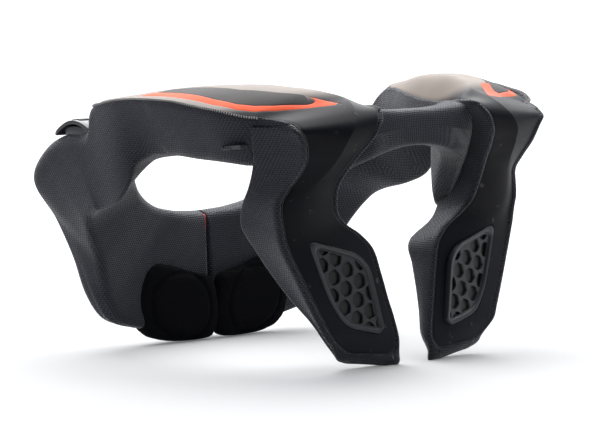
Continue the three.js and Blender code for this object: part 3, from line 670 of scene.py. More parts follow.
def clipped(polygon, cutter):
    """The part of a polygon inside a convex outline that runs anticlockwise."""
    for (x0, y0), (x1, y1) in zip(cutter, cutter[1:] + cutter[:1]):
        kept = []
        side = [(x1 - x0) * (q[1] - y0) - (y1 - y0) * (q[0] - x0) for q in polygon]
        for i, q in enumerate(polygon):
            j = (i + 1) % len(polygon)
            if side[i] >= 0:
                kept.append(q)
            if (side[i] >= 0) != (side[j] >= 0):
                t = side[i] / (side[i] - side[j])
                kept.append((q[0] + t * (polygon[j][0] - q[0]), q[1] + t * (polygon[j][1] - q[1])))
        polygon = kept
        if len(polygon) < 3:
            return []
    return polygon


def scaled_about_middle(polygon, inset):
    middle = np.mean(polygon, axis=0)
    reach = np.mean([np.linalg.norm(np.subtract(q, middle)) for q in polygon])
    share = max(1 - inset / reach, 0.2)
    return [tuple(middle + (np.array(q) - middle) * share) for q in polygon]


def area(polygon):
    return abs(sum(a[0] * b[1] - b[0] * a[1] for a, b in zip(polygon, polygon[1:] + polygon[:1]))) / 2


RIM = 3.6
CELL_ACROSS = 10.6
CELL_PITCH = 12.8
COLUMN_PITCH = 11.1
CELL_WALL = 0.7
CELL_LEAN = math.radians(-10)
CELL_CORNERS = ((-0.26, 1.0), (0, 1.035), (0.26, 1.0))  # turn from each corner and share of the reach
CELL_SWELL = 1.05
LEAST_CELL = 6  # square millimetres
FACE_HEIGHT = 0.2
RIM_STEPS = ((0.0, 0.7), (0.25, 1.2), (0.7, 1.55), (RIM - 1.1, 1.55), (RIM - 0.5, 1.2), (RIM, FACE_HEIGHT))
CELL_STEPS = ((0.35, -0.15), (0.7, -1.9))
GRILLE_BACK = -2.3
GRILLE_SHARP = 35
SHELL_SHARP = 38
CREASED = 0.35  # least crease of a sharp edge along the crest
END_THINNING = 0.6


def vent_cells():
    """The rounded hexagons of the honeycomb, clipped by the rim."""
    field = vent_outline(RIM + CELL_WALL)
    cells = []
    for column in range(-5, 6):
        for row in range(-6, 7):
            a, b = column * COLUMN_PITCH, (row + 0.5 * (column % 2)) * CELL_PITCH
            x = a * math.cos(CELL_LEAN) - b * math.sin(CELL_LEAN)
            y = a * math.sin(CELL_LEAN) + b * math.cos(CELL_LEAN)
            hexagon = []
            for k in range(6):
                turn = CELL_LEAN + math.pi / 2 + math.tau * k / 6
                for nudge, share in CELL_CORNERS:
                    reach = CELL_ACROSS / 2 * CELL_SWELL * share
                    hexagon.append((x + reach * math.cos(turn + nudge), y + reach * math.sin(turn + nudge)))
            cell = clipped(field, hexagon)
            if cell and area(cell) > LEAST_CELL:
                cells.append(cell)
    return cells


def vent_mesh(side):
    """A grille in the strut's plane: a raised rim round a honeycomb of deep cells."""
    origin, x, y, out = vent_frame()
    points, heights, edges = [], [], []

    def contour(polygon, height):
        first = len(points)
        points.extend(polygon)
        heights.extend([height] * len(polygon))
        edges.extend((first + i, first + (i + 1) % len(polygon)) for i in range(len(polygon)))

    for inset, height in RIM_STEPS:
        contour(vent_outline(inset), height)
    for cell in vent_cells():
        contour(cell, FACE_HEIGHT)
        for inset, height in CELL_STEPS:
            contour(scaled_about_middle(cell, inset), height)
    vectors = [Vector(p) for p in points]
    found, _, triangles, origins, *_ = delaunay_2d_cdt(vectors, edges, [], 0, 1e-5)
    outline = vent_outline(0)
    top, low = [], []
    for p, sources in zip(found, origins):
        height = max((heights[i] for i in sources), default=FACE_HEIGHT)
        top.append(origin + x * p[0] + y * p[1] + out * height)
        low.append(origin + x * p[0] + y * p[1] + out * GRILLE_BACK)
    kept = [tuple(face) for face in triangles
            if inside_by(np.mean([found[i][:] for i in face], axis=0), outline) > 1e-4]
    used = dict.fromkeys((i, j) for face in kept for i, j in zip(face, face[1:] + face[:1]))
    border = [(i, j) for (i, j) in used if (j, i) not in used]
    n = len(found)
    faces = kept + [tuple(i + n for i in f[::-1]) for f in kept] + [(j, i, i + n, j + n) for i, j in border]
    height = [(p - origin).dot(out) for p in top] + [0.0] * n
    return mesh_from(side + "_vent_grille", top + low, faces, side, sharp=GRILLE_SHARP,
                     fields={"height": height})


def shell_mesh(side):
    """The hard shell before its vent is cut, with the fields that colour it."""
    extra = shell_end_marks((0.02, 0.06, 0.12, 0.2, 0.3, 0.42, 0.56, 0.75))
    rings = []
    distances = marks(SHELL_START + GAP, SHELL_STOP - GAP, SHELL_STEP, extra)
    for at in distances:
        near = min(at - SHELL_START - GAP, SHELL_STOP - GAP - at)
        rings.append(shell_ring(at, max(0.0, SHELL_BEVEL - near) * END_THINNING))
    points, faces, uvs = loft(rings)
    crease = np.zeros(len(points))
    for i, at in enumerate(distances):
        crease[i * len(rings[0]) + CREST] = Section(at).fold
    fields = {"crease": crease}
    for name, outline in (("stripe", STRIPE[side]), ("inlay", INLAY)):
        fields[name] = [inside_by(p[:2], outline) + EDGE if p[2] > STRIPE_FLOOR else OUTSIDE for p in points]
    return mesh_from(side + "_shell_skin", points, faces, side, uvs, SHELL_SHARP, fields)


def cut(obj, cutter):
    """The cutter taken out of the object, and the edge along the crest made sharp where it folds."""
    modifier = obj.modifiers.new("cut", "BOOLEAN")
    modifier.operation, modifier.solver, modifier.object = "DIFFERENCE", "EXACT", cutter
    bake(obj)
    bpy.data.objects.remove(cutter)
    obj.data.set_sharp_from_angle(angle=math.radians(SHELL_SHARP))
    folded = obj.data.attributes["crease"].data
    for edge in obj.data.edges:
        if all(folded[v].value > CREASED for v in edge.vertices):
            edge.use_edge_sharp = True


CUTTER_REACH = (-7, 12)  # under and over the vent's plane


def vent_cutter(side):
    """A prism that opens the shell for the vent."""
    origin, x, y, out = vent_frame()
    outline = vent_outline(-GAP)
    n = len(outline)
    points = [origin + x * p[0] + y * p[1] + out * z for z in CUTTER_REACH for p in outline]
    faces = [tuple(range(n)), tuple(range(2 * n - 1, n - 1, -1))]
    faces += [(i, i + n, (i + 1) % n + n, (i + 1) % n) for i in range(n)]
    return link("cutter", mesh_from("cutter", points, faces, side))


BRIDGE_STEP = 2.0
BRIDGE_POINTS = 64
BRIDGE_SQUARENESS = (0.42, 0.5)  # powers of the section's cosine and sine


def bridge_mesh():
    """The padded nape bridge, from one strut to the other."""
    half = Spline([row[0] for row in BRIDGE], [row[1:] for row in BRIDGE])
    rings = []
    for across in marks(-BRIDGE[-1][0], BRIDGE[-1][0], BRIDGE_STEP):
        rear, rear_low, front, top, bottom = half(abs(across))
        ring = []
        for k in range(BRIDGE_POINTS):
            turn = math.tau * k / BRIDGE_POINTS
            x, z = (abs(v) ** power * math.copysign(1, v)
                    for v, power in zip((math.cos(turn), math.sin(turn)), BRIDGE_SQUARENESS))
            back = mix(rear_low, rear, (z + 1) / 2)
            ring.append((across, mix(front, back, (x + 1) / 2), mix(bottom, top, (z + 1) / 2)))
        rings.append(ring)
    points, faces, uvs = loft(rings)
    return mesh_from("bridge_cover", points, faces, "left", uvs)


# Chest cushions

PAD_OUTLINE = [
    (0.02, 0.1), (0.07, 0.02), (0.18, 0), (0.42, 0), (0.64, 0.03), (0.86, 0.12), (0.96, 0.25), (1, 0.48),
    (0.97, 0.69), (0.88, 0.9), (0.76, 0.99), (0.63, 0.98), (0.38, 0.9), (0.15, 0.83), (0.05, 0.77), (0.02, 0.66),
]
PAD_CHANNEL = [
    (0.16, 0.2), (0.2, 0.14), (0.7, 0.18), (0.8, 0.3), (0.8, 0.72), (0.68, 0.82), (0.22, 0.72), (0.16, 0.6)]
PAD_SIZE = (75.0, 58.0, 13.0)
PAD_BACK = -85.4
PAD_BOW = 4.0  # how far its outer side lies ahead of its inner side
PAD_FOOT = 0.9  # least height of the cushion before it is blown up
PAD_FACE = (0.95, 0.8, 0.6, 0.4, 0.25)  # how far the rings on its faces are drawn in
PAD_WALL = ((0.12, 0.0), (0.06, 0.2), (0.03, 0.9), (0.018, 2.2))  # and those near its edges, at their depths
PAD_WAIST = 0.015
PAD_POINTS = 96
CHANNEL_POINTS = 48
CHANNEL_DEPTH = 1.5
CHANNEL_WIDTH = 1.1
CUSHION_RISE = 0.5  # swell of the field inside the channel, reached 5 mm from it
VOXEL = 2.6
PRESSURE = 4.0
CLOTH_MASS = 0.3
CLOTH_FRAMES = 16


def closed_curve(outline, count):
    """Points evenly spread on a smooth closed curve through the outline."""
    outline = np.array(outline, float)
    wrapped = np.vstack([outline[-2:], outline, outline[:3]])
    knots = np.concatenate([[0], np.cumsum(np.linalg.norm(np.diff(wrapped, axis=0), axis=1))])
    curve = Spline(knots, wrapped)
    return np.array([curve(t) for t in np.linspace(knots[2], knots[len(outline) + 2], count, endpoint=False)])


def pad_mesh(side):
    """The cushion before it is blown up, from rings of its outline."""
    outline = closed_curve([(x * PAD_SIZE[0], z * PAD_SIZE[1]) for x, z in PAD_OUTLINE], PAD_POINTS)
    middle = outline.mean(axis=0)
    thick = PAD_SIZE[2]
    rings = []
    back = [*((share, 0.0) for share in PAD_FACE), *PAD_WALL]
    front = [(share, thick - depth) for share, depth in back[::-1]]
    for share, depth in (*back, (PAD_WAIST, thick / 2), *front):
        flat = middle + (outline - middle) * (1 - share)
        flat[:, 1] = np.maximum(flat[:, 1], PAD_FOOT)
        rings.append([(x, PAD_BACK - thick + depth - PAD_BOW * (x / PAD_SIZE[0]) ** 2, z) for x, z in flat])
    points, faces, uvs = loft(rings)
    return mesh_from(side + "_chest_cushion", points, faces, side, uvs)


def blown_up(obj, cap):
    """Cloth with pressure, whose result is kept in the mesh and limited to the cap."""
    remesh = obj.modifiers.new("remesh", "REMESH")
    remesh.mode, remesh.voxel_size = "VOXEL", VOXEL * MM
    bake(obj)
    before = np.array([v.co[:] for v in obj.data.vertices])
    cloth = obj.modifiers.new("cloth", "CLOTH")
    cloth.settings.use_pressure = True
    cloth.settings.uniform_pressure_force = PRESSURE
    cloth.settings.effector_weights.gravity = 0
    cloth.settings.mass = CLOTH_MASS
    cloth.point_cache.frame_end = CLOTH_FRAMES
    scene = bpy.context.scene
    for number in range(1, CLOTH_FRAMES + 1):
        scene.frame_set(number)
    bake(obj)
    scene.frame_set(1)
    step = np.array([v.co[:] for v in obj.data.vertices]) - before
    length = np.maximum(np.linalg.norm(step, axis=1, keepdims=True), 1e-9)
    after = before + step * np.minimum(length, cap * MM) / length
    obj.data.vertices.foreach_set("co", after.ravel())


def emboss(obj):
    """A sewn channel round the cushion's face, after a subdivision."""
    smooth = obj.modifiers.new("smooth", "SUBSURF")
    smooth.levels = smooth.render_levels = 1
    bake(obj)
    channel = closed_curve([(x * PAD_SIZE[0], z * PAD_SIZE[1]) for x, z in PAD_CHANNEL], CHANNEL_POINTS)
    channel = [tuple(p) for p in channel]
    points = np.array([v.co[:] for v in obj.data.vertices])
    for p in points:
        x, z = abs(p[0]) / MM, p[2] / MM
        face = PAD_BACK - PAD_SIZE[2] / 2 - PAD_BOW * (x / PAD_SIZE[0]) ** 2
        away = inside_by((x, z), channel)
        if p[1] / MM > face:
            sunk = CHANNEL_DEPTH * math.exp(-(away / CHANNEL_WIDTH) ** 2)
            p[1] += MM * (CUSHION_RISE * between(away, 0.5, 5) - sunk)
        p[2] = max(p[2], RESTING * MM)
    obj.data.vertices.foreach_set("co", points.ravel())
    obj.data.shade_smooth()


# Clip, tongue and tab

FITTING_SHARP = 40  # degrees
SLAB_EDGE = 0.7  # rounding of a bar's long edges
SLAB_ENDS = (1.2, 0.5, 0.15)  # how far its first and last sections draw in
RIB_PROUD = 0.7
TAB_ROUND = 2.6
TAB_BEVEL = 0.25


def slab(points, widths, thick, name, side):
    """A curved bar from a path in the YZ plane: its sides at widths, its thickness below the path."""
    path = np.array(points, float)
    tangent = np.gradient(path, axis=0)
    tangent /= np.linalg.norm(tangent, axis=1, keepdims=True)
    normal = np.stack([-tangent[:, 1], tangent[:, 0]], axis=1)
    if normal[:, 1].mean() < 0:
        normal = -normal
    corner = ((SLAB_EDGE, 0.0), (SLAB_EDGE * 0.3, SLAB_EDGE * 0.3), (0.0, SLAB_EDGE))
    rings = []
    for i, (p, n) in enumerate(zip(path, normal)):
        end = min(i, len(path) - 1 - i)
        draw = SLAB_ENDS[end] if end < len(SLAB_ENDS) else 0.0
        low, high = widths[0] + draw, widths[1] - draw
        deep = thick - min(draw, thick * 0.3)
        outline = [(low + SLAB_EDGE, 0.0), *((high - a, b) for a, b in corner),
                   *((high - a, deep - b) for a, b in corner[::-1]), *((low + a, deep - b) for a, b in corner),
                   *((low + a, b) for a, b in corner[:0:-1])]
        rings.append([(x, *(p - n * d)) for x, d in outline])
    made, faces, uvs = loft(rings)
    return mesh_from(name, made, faces, side, uvs, FITTING_SHARP)


def joined(name, meshes):
    """Several closed meshes in one."""
    bm = bmesh.new()
    for mesh in meshes:
        bm.from_mesh(mesh)
    whole = bpy.data.meshes.new(name)
    bm.to_mesh(whole)
    bm.free()
    for mesh in meshes:
        bpy.data.meshes.remove(mesh)
    whole.shade_smooth()
    whole.set_sharp_from_angle(angle=math.radians(FITTING_SHARP))
    return whole


def clip_mesh():
    """The arched strap clip on its block, with grip ribs."""
    low, high = (np.array(c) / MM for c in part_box("left_strap_clip"))
    length, rise = high[1] - low[1], high[2] - low[2]
    curve = Spline([0, 0.2, 0.42, 0.62, 0.82, 1], [
        (0.0, 0.3), (0.14, 0.62), (0.36, 0.93), (0.56, 1.0), (0.78, 0.86), (1.0, 0.56)])
    path = [(low[1] + length * p[0], low[2] + rise * p[1]) for p in (curve(t) for t in np.linspace(0, 1, 22))]
    parts = [slab(path, (low[0], high[0]), 2.8, "band", "left")]
    for k in range(5):
        t = 0.3 + 0.085 * k
        a, b = curve(t - 0.018), curve(t + 0.018)
        rib = [(low[1] + length * mix(a[0], b[0], u), low[2] + rise * mix(a[1], b[1], u) + 0.7)
               for u in np.linspace(0, 1, 7)]
        parts.append(slab(rib, (low[0] + 3, high[0] - 3), 1.4, "rib", "left"))
    block = [(low[1] + length * y, low[2] + rise * z) for y, z in
             ((0.2, 0.5), (0.24, 0.58), (0.32, 0.66), (0.45, 0.7), (0.6, 0.7), (0.72, 0.64), (0.84, 0.5), (0.88, 0.42))]
    parts.append(slab(block, (low[0] + 2, high[0] - 2), rise * 0.42, "block", "left"))
    return joined("left_strap_buckle", parts)


def tongue_mesh():
    low, high = (np.array(c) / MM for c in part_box("left_adjuster_tongue"))
    size = high - low
    path = [(low[1] + size[1] * t, high[2] - size[2] * (0.42 * (1 - t) ** 2)) for t in np.linspace(0, 1, 14)]
    parts = [slab(path, (low[0], high[0] - 0.6), size[2] * 0.55, "plate", "left")]
    for k in range(4):
        at = low[1] + size[1] * (0.14 + 0.13 * k)
        rib = [(at + u, high[2] - size[2] * 0.3) for u in np.linspace(0, 0.9, 7)]
        parts.append(slab(rib, (high[0] - 2.4, high[0]), size[2] * 0.4, "rib", "left"))
    return joined("left_adjuster_lever", parts)


def tab_mesh():
    low, high = (np.array(c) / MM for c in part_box("release_tab"))
    size = high - low
    rings = []
    for x, inset in ((low[0], 0.25), (low[0] + 0.25, 0), (high[0] - 0.25, 0), (high[0], 0.25)):
        ring = []
        for cy, cz, first in ((1, 1, 0), (-1, 1, 1), (-1, -1, 2), (1, -1, 3)):
            for k in range(6):
                turn = math.pi / 2 * (first + k / 5)
                reach = 2.6
                ring.append((x, (low[1] + high[1]) / 2 + cy * (size[1] / 2 - reach) + (reach - inset) * math.cos(turn),
                             (low[2] + high[2]) / 2 + cz * (size[2] / 2 - reach) + (reach - inset) * math.sin(turn)))
        rings.append(ring)
    points, faces, uvs = loft(rings)
    return mesh_from("release_pull", points, faces, "left", uvs, 45)


# Trim that follows a path, made by Geometry Nodes

class Recipe:
    """A Geometry Nodes tree with named inputs."""

    def __init__(self, name, inputs):
        self.tree = bpy.data.node_groups.new(name, "GeometryNodeTree")
        face = self.tree.interface
        face.new_socket("Path", in_out="INPUT", socket_type="NodeSocketGeometry")
        self.ids = {}
        for label, kind, value in inputs:
            socket = face.new_socket(label, in_out="INPUT", socket_type=kind)
            if value is not None:
                socket.default_value = value
            self.ids[label] = socket.identifier
        face.new_socket("Result", in_out="OUTPUT", socket_type="NodeSocketGeometry")
        self.given = self.tree.nodes.new("NodeGroupInput").outputs
        self.result = self.tree.nodes.new("NodeGroupOutput").inputs

    def node(self, kind, settings=None, inputs=None):
        made = self.tree.nodes.new(kind)
        for key, value in (settings or {}).items():
            setattr(made, key, value)
        for key, value in (inputs or {}).items():
            if isinstance(value, bpy.types.NodeSocket):
                self.tree.links.new(value, made.inputs[key])
            else:
                made.inputs[key].default_value = value
        return made.outputs[0]

    def finish(self, geometry):
        """Ends the tree: the geometry made real, in the material that is given."""
        real = self.node("GeometryNodeRealizeInstances", inputs={"Geometry": geometry})
        done = self.node("GeometryNodeSetMaterial", inputs={"Geometry": real, "Material": self.given["Finish"]})
        self.tree.links.new(done, self.result["Result"])
        return self

    def apply(self, obj, values):
        modifier = obj.modifiers.new("trim", "NODES")
        modifier.node_group = self.tree
        for label, value in values.items():
            modifier[self.ids[label]] = value
        obj.update_tag()
        bpy.context.view_layer.update()
        made = bpy.data.meshes.new_from_object(obj.evaluated_get(bpy.context.evaluated_depsgraph_get()))
        obj.modifiers.remove(modifier)
        made.name = obj.data.name
        obj.data = made


def bead_recipe():
    """A round bead along the path."""
    r = Recipe("bead along a path", [("Radius", "NodeSocketFloat", 0.0006), ("Finish", "NodeSocketMaterial", None)])
    curve = r.node("GeometryNodeMeshToCurve", inputs={"Mesh": r.given["Path"]})
    profile = r.node("GeometryNodeCurvePrimitiveCircle", {"mode": "RADIUS"},
                     {"Resolution": 8, "Radius": r.given["Radius"]})
    return r.finish(r.node("GeometryNodeCurveToMesh", inputs={
        "Curve": curve, "Profile Curve": profile, "Fill Caps": True}))


def bars_recipe():
    """Small rounded bars set along the path at a pitch, as stitches or the ribs of a piping."""
    r = Recipe("bars along a path", [
        ("Pitch", "NodeSocketFloat", 0.0016), ("Along", "NodeSocketFloat", 0.0006),
        ("Across", "NodeSocketFloat", 0.0006), ("Finish", "NodeSocketMaterial", None)])
    curve = r.node("GeometryNodeMeshToCurve", inputs={"Mesh": r.given["Path"]})
    points = r.node("GeometryNodeCurveToPoints", {"mode": "LENGTH"}, {"Curve": curve, "Length": r.given["Pitch"]})
    ball = r.node("GeometryNodeMeshUVSphere", inputs={"Segments": 6, "Rings": 4, "Radius": 1.0})
    size = r.node("ShaderNodeCombineXYZ", inputs={
        "X": r.given["Across"], "Y": r.given["Across"], "Z": r.given["Along"]})
    return r.finish(r.node("GeometryNodeInstanceOnPoints", inputs={
        "Points": points, "Instance": ball, "Rotation": points.node.outputs["Rotation"], "Scale": size}))


def path_object(name, points, side, closed=False):
    points = np.array(points, float) * MM
    points[:, 0] *= MIRROR[side]
    edges = [(i, i + 1) for i in range(len(points) - 1)] + ([(len(points) - 1, 0)] if closed else [])
    mesh = bpy.data.meshes.new(name)
    mesh.from_pydata(points.tolist(), edges, [])
    return link(name, mesh)


def shell_edge_path():
    """The line round the shell where it meets the fabric."""
    outer, inner = [], []
    extra = (SHELL_START + 0.6, SHELL_START + 1.4, SHELL_STOP - 0.6)
    for at in marks(SHELL_START + 0.15, SHELL_STOP - 0.15, 1.5, extra):
        s = Section(at)
        inset = s.corner_inset()
        outer.append(s.top(inset + 0.05, 0.1))
        inner.append(s.top(s.width - inset - 0.05, 0.1))
    return outer + inner[::-1]


# Materials

class Value:
    """A socket of a material, on which arithmetic adds its Math nodes."""

    def __init__(self, finish, socket):
        self.finish, self.socket = finish, socket

    def math(self, operation, *others, first=None):
        inputs = {0: self if first is None else first}
        for i, other in enumerate(others):
            inputs[i + 1] = other
        return self.finish.node("ShaderNodeMath", {"operation": operation}, inputs)

    def __add__(self, other): return self.math("ADD", other)
    def __radd__(self, other): return self.math("ADD", other)
    def __sub__(self, other): return self.math("SUBTRACT", other)
    def __rsub__(self, other): return self.math("SUBTRACT", self, first=other)
    def __mul__(self, other): return self.math("MULTIPLY", other)
    def __rmul__(self, other): return self.math("MULTIPLY", other)
    def __truediv__(self, other): return self.math("DIVIDE", other)
    def __pow__(self, other): return self.math("POWER", other)

    def wave(self):
        """0 at whole numbers and 1 halfway between them."""
        return (self.math("FRACT") * math.pi).math("SINE")

    def step(self, low, high):
        """0 below low and 1 above high, smooth in between."""
        return self.finish.node("ShaderNodeMapRange", {"interpolation_type": "SMOOTHSTEP"}, {
            "Value": self, "From Min": low, "From Max": high, "To Min": 0.0, "To Max": 1.0})


class Finish:
    """A material and its nodes."""

    def __init__(self, name, **constants):
        self.material = bpy.data.materials.new(name)
        self.material.use_nodes = True
        self.tree = self.material.node_tree
        self.shader = self.tree.nodes["Principled BSDF"]
        for label, value in constants.items():
            self.shader.inputs[label.replace("_", " ")].default_value = value

    def node(self, kind, settings=None, inputs=None, output=0):
        made = self.tree.nodes.new(kind)
        for key, value in (settings or {}).items():
            setattr(made, key, value)
        for key, value in (inputs or {}).items():
            self.give(made.inputs[key], value)
        return Value(self, made.outputs[output])

    def give(self, socket, value):
        if isinstance(value, Value):
            self.tree.links.new(value.socket, socket)
        else:
            socket.default_value = value

    def set(self, label, value):
        self.give(self.shader.inputs[label], value)

    def place(self):
        return self.node("ShaderNodeTexCoord", output="Object")

    def parts(self, vector):
        made = self.node("ShaderNodeSeparateXYZ", inputs={"Vector": vector}).socket.node
        return [Value(self, made.outputs[i]) for i in range(3)]

    def weave(self):
        vector = self.node("ShaderNodeUVMap", {"uv_map": "weave"})
        return self.parts(vector)[:2]

    def field(self, name):
        return self.node("ShaderNodeAttribute", {"attribute_name": name}, output="Fac")

    def noise(self, scale, detail=2.0, roughness=0.5):
        return self.node("ShaderNodeTexNoise", inputs={
            "Vector": self.place(), "Scale": scale, "Detail": detail, "Roughness": roughness})

    def colours(self, factor, a, b):
        made = self.tree.nodes.new("ShaderNodeMix")
        made.data_type = "RGBA"
        for i, value in ((0, factor), (6, a), (7, b)):
            self.give(made.inputs[i], value)
        return Value(self, made.outputs[2])

    def bump(self, height, distance, strength=1.0, normal=None):
        inputs = {"Height": height, "Distance": distance, "Strength": strength}
        if normal is not None:
            inputs["Normal"] = normal
        return self.node("ShaderNodeBump", inputs=inputs)


def rgb(colour, share=1.0):
    return (colour[0] * share, colour[1] * share, colour[2] * share, 1.0)


def fabric_finish(name, colour, light, pitch, row):
    """Woven mesh of short raised dashes in offset rows."""
    f = Finish(name, Specular_IOR_Level=0.25, Sheen_Weight=0.5, Sheen_Roughness=0.25)
    u, v = f.weave()
    rows = v / row
    offset = rows.math("FLOOR").math("MODULO", 2.0) * 0.5
    height = ((u / pitch + offset).wave() * rows.wave()) ** 0.7
    worn = f.noise(28.0, 3.0)
    thread = f.noise(900.0, 1.0)
    shade = (height * 0.75 + thread * 0.5 - 0.12).step(0.1, 0.95)
    base = f.colours(shade, rgb(colour, 0.45), rgb(light))
    f.set("Base Color", f.colours((worn - 0.35) * 0.6, base, rgb(colour, 0.7)))
    f.set("Roughness", 0.74 - height * 0.2)
    f.set("Normal", f.bump(height + thread * 0.2, 0.00045, 0.9))
    return f.material


KNIT_PITCH = 0.0011


def pad_finish(name, colour):
    """Fine brushed knit over foam."""
    f = Finish(name, Specular_IOR_Level=0.04)
    x, _, z = f.parts(f.place())
    rib = (x / KNIT_PITCH).wave() * (z / KNIT_PITCH).wave()
    fuzz = f.noise(700.0, 3.0)
    f.set("Base Color", f.colours(rib * 0.5 + fuzz * 0.5, rgb(colour, 0.5), rgb(colour, 1.7)))
    f.set("Roughness", 0.9 + fuzz * 0.1)
    f.set("Normal", f.bump(rib + fuzz, 0.0003, 0.7))
    return f.material


def shell_finish(name, p):
    """Moulded shell: satin graphite on the strut, a taupe on its upper part that is painted reflection of the overhead
    light, an orange stripe and a darker inlay on the shoulder.
    """
    f = Finish(name, Specular_IOR_Level=0.08)
    _, y, z = f.parts(f.place())
    cloud = f.noise(16.0, 4.0, 0.6)
    grain = f.noise(1400.0, 2.0)
    scuff = f.noise(90.0, 5.0, 0.7)
    # painted reflection: above this height the shell takes the taupe, which stands in for the overhead light reflected
    # on its upper side
    painted_top_light = (z - y * 0.35 + (cloud - 0.5) * 0.004).step(0.146, 0.157)
    low = (z + (cloud - 0.5) * 0.01).step(0.02, 0.09)
    strut = f.colours(low, rgb(p.strut_colour, 1.7), rgb(p.strut_colour))
    top = f.colours(cloud, rgb(p.lit_top_taupe, 0.85), rgb(p.lit_top_taupe, 1.15))
    inlay, stripe = (f.field(key).step(EDGE - 0.25, EDGE + 0.25) for key in ("inlay", "stripe"))
    top = f.colours(inlay, top, rgb(p.inlay_colour))
    body = f.colours(painted_top_light, strut, top)
    body = f.colours(scuff.step(0.62, 0.75) * 0.25, body, rgb(p.lit_top_taupe, 1.3))
    f.set("Base Color", f.colours(stripe, body, rgb(p.stripe_colour)))
    f.set("Roughness", 0.36 + painted_top_light * 0.08 + cloud * 0.1 + grain * 0.06 + scuff.step(0.55, 0.8) * 0.12)
    away = f.field("stripe") - EDGE
    edge = (away * away * -3.0).math("EXPONENT")
    f.set("Normal", f.bump(grain * 0.25 + scuff * 0.35 - edge * 2.0, 0.00012, 0.8))
    return f.material


def plastic_finish(name, colour, roughness, depth=False):
    """Moulded grained plastic, with painted shade darkening its recesses where the piece tells their depth."""
    f = Finish(name, Specular_IOR_Level=0.5)
    grain = f.noise(1100.0, 3.0)
    cloud = f.noise(30.0, 3.0)
    base = f.colours(cloud, rgb(colour, 0.75), rgb(colour, 1.3))
    if depth:
        # painted shade: the floors of the grille's cells are darkened towards black for the shade that falls in them
        deep = 1.0 - f.field("height").step(-1.6, -0.2)
        base = f.colours(deep, base, rgb(colour, 0.12))
    f.set("Base Color", base)
    f.set("Roughness", roughness - 0.08 + grain * 0.14)
    f.set("Normal", f.bump(grain, 0.00015, 0.6))
    return f.material


def thread_finish(name, colour):
    """Spun yarn of the piping and the stitches; on the piping its light grey is partly painted highlight, for the light
    that the roll's upper edge catches.
    """
    f = Finish(name, Roughness=0.7, Specular_IOR_Level=0.3)
    fibre = f.noise(2200.0, 2.0)
    f.set("Base Color", f.colours(fibre, rgb(colour, 0.6), rgb(colour, 1.4)))
    f.set("Normal", f.bump(fibre, 0.0001, 0.6))
    return f.material


MADE = {}


def shared(name, maker, *arguments):
    """A material or a recipe that is made once."""
    if name not in MADE:
        MADE[name] = maker(*arguments)
    return MADE[name]


def colour_property(name, description, default):
    return FloatVectorProperty(
        name=name, description=description, default=default, subtype="COLOR", size=3, min=0, max=1)


def length_property(name, description, millimetres):
    return FloatProperty(name=name, description=description, default=millimetres * MM, unit="LENGTH", precision=5)


class BraceCloth(bpy.types.PropertyGroup):
    """Colours and weave of the padded pieces."""
    fabric: colour_property("Fabric", "Yarn colour of the padded covers", (0.0048, 0.0052, 0.0086))
    thread: colour_property("Raised yarn", "Colour of the raised dashes of the weave", (0.036, 0.037, 0.052))
    cushion: colour_property("Cushion", "Colour of the chest cushions", (0.0045, 0.0047, 0.006))
    # The piping's light grey is partly painted highlight, for the light that the shoulder roll's upper edge catches
    piping: colour_property("Piping", "Colour of the ribbed piping along the seams", (0.3, 0.29, 0.28))
    dash: length_property("Dash pitch", "Length of one dash of the weave and its gap", 2.3)
    row: length_property("Row pitch", "Distance between rows of the weave", 1.45)
    swell: length_property("Cushion swell", "How far the cushions may swell when they are blown up", 1.4)


class BraceShells(bpy.types.PropertyGroup):
    """Colours of the hard pieces."""
    strut_colour: colour_property("Strut", "Moulded graphite of the struts", (0.006, 0.0062, 0.009))
    # The shoulder taupe is painted reflection of the overhead light on the dark plastic of the shell's upper part
    lit_top_taupe: colour_property("Shoulder", "Taupe of the shoulder tops", (0.26, 0.222, 0.194))
    inlay_colour: colour_property("Inlay", "Darker taupe beside the stripe", (0.034, 0.03, 0.028))
    stripe_colour: colour_property("Stripe", "Orange stripe on the shoulder tops", (0.72, 0.085, 0.02))
    grille_colour: colour_property("Grille", "Vents and small fittings", (0.02, 0.0205, 0.026))
    pull_colour: colour_property("Release pull", "Red of the release pull", (0.5, 0.02, 0.015))


class BraceTrim(bpy.types.PropertyGroup):
    """Sizes of the trim that follows the seams."""
    # painted shade: the bead is a dark line standing for the shade in the gap round the shells
    bead: length_property("Bead", "Radius of the dark_gap_line bead round the shells", 0.55)
    stitch: length_property("Stitch pitch", "Distance from one stitch to the next", 2.6)
    rib: length_property("Rib pitch", "Distance between the ribs of the piping", 1.7)


def cover_material():
    cloth = bpy.context.scene.brace_cloth
    return shared("fabric", fabric_finish, "padded_mesh_fabric", cloth.fabric, cloth.thread,
                  cloth.dash / MM, cloth.row / MM)


def cover_object(name, rings, side):
    """A padded cover through its outlines, in the scene."""
    points, faces, uvs = woven(loft(rings))
    return link(name, mesh_from(name, points, faces, side, uvs))


class MakeBodyCovers(bpy.types.Operator):
    """Padded covers of the shoulders and the chest plates"""
    bl_idname = "brace.body_covers"
    bl_label = "Shoulder and chest covers"

    def execute(self, context):
        for side in MIRROR:
            obj = cover_object(side + "_body_cover", cover_rings(HEAD + 0.5, BODY_STOP, False, CHEST_CAP), side)
            finish_piece(obj, (side + "_shoulder_pad", side + "_chest_plate"), cover_material())
        return {"FINISHED"}


class MakeStrutCovers(bpy.types.Operator):
    """Padded covers of the rear struts"""
    bl_idname = "brace.strut_covers"
    bl_label = "Strut covers"

    def execute(self, context):
        for side in MIRROR:
            obj = cover_object(side + "_strut_cover", cover_rings(0.0, HEAD, True, TOE_CAP), side)
            finish_piece(obj, (side + "_strut_pad",), cover_material())
        return {"FINISHED"}


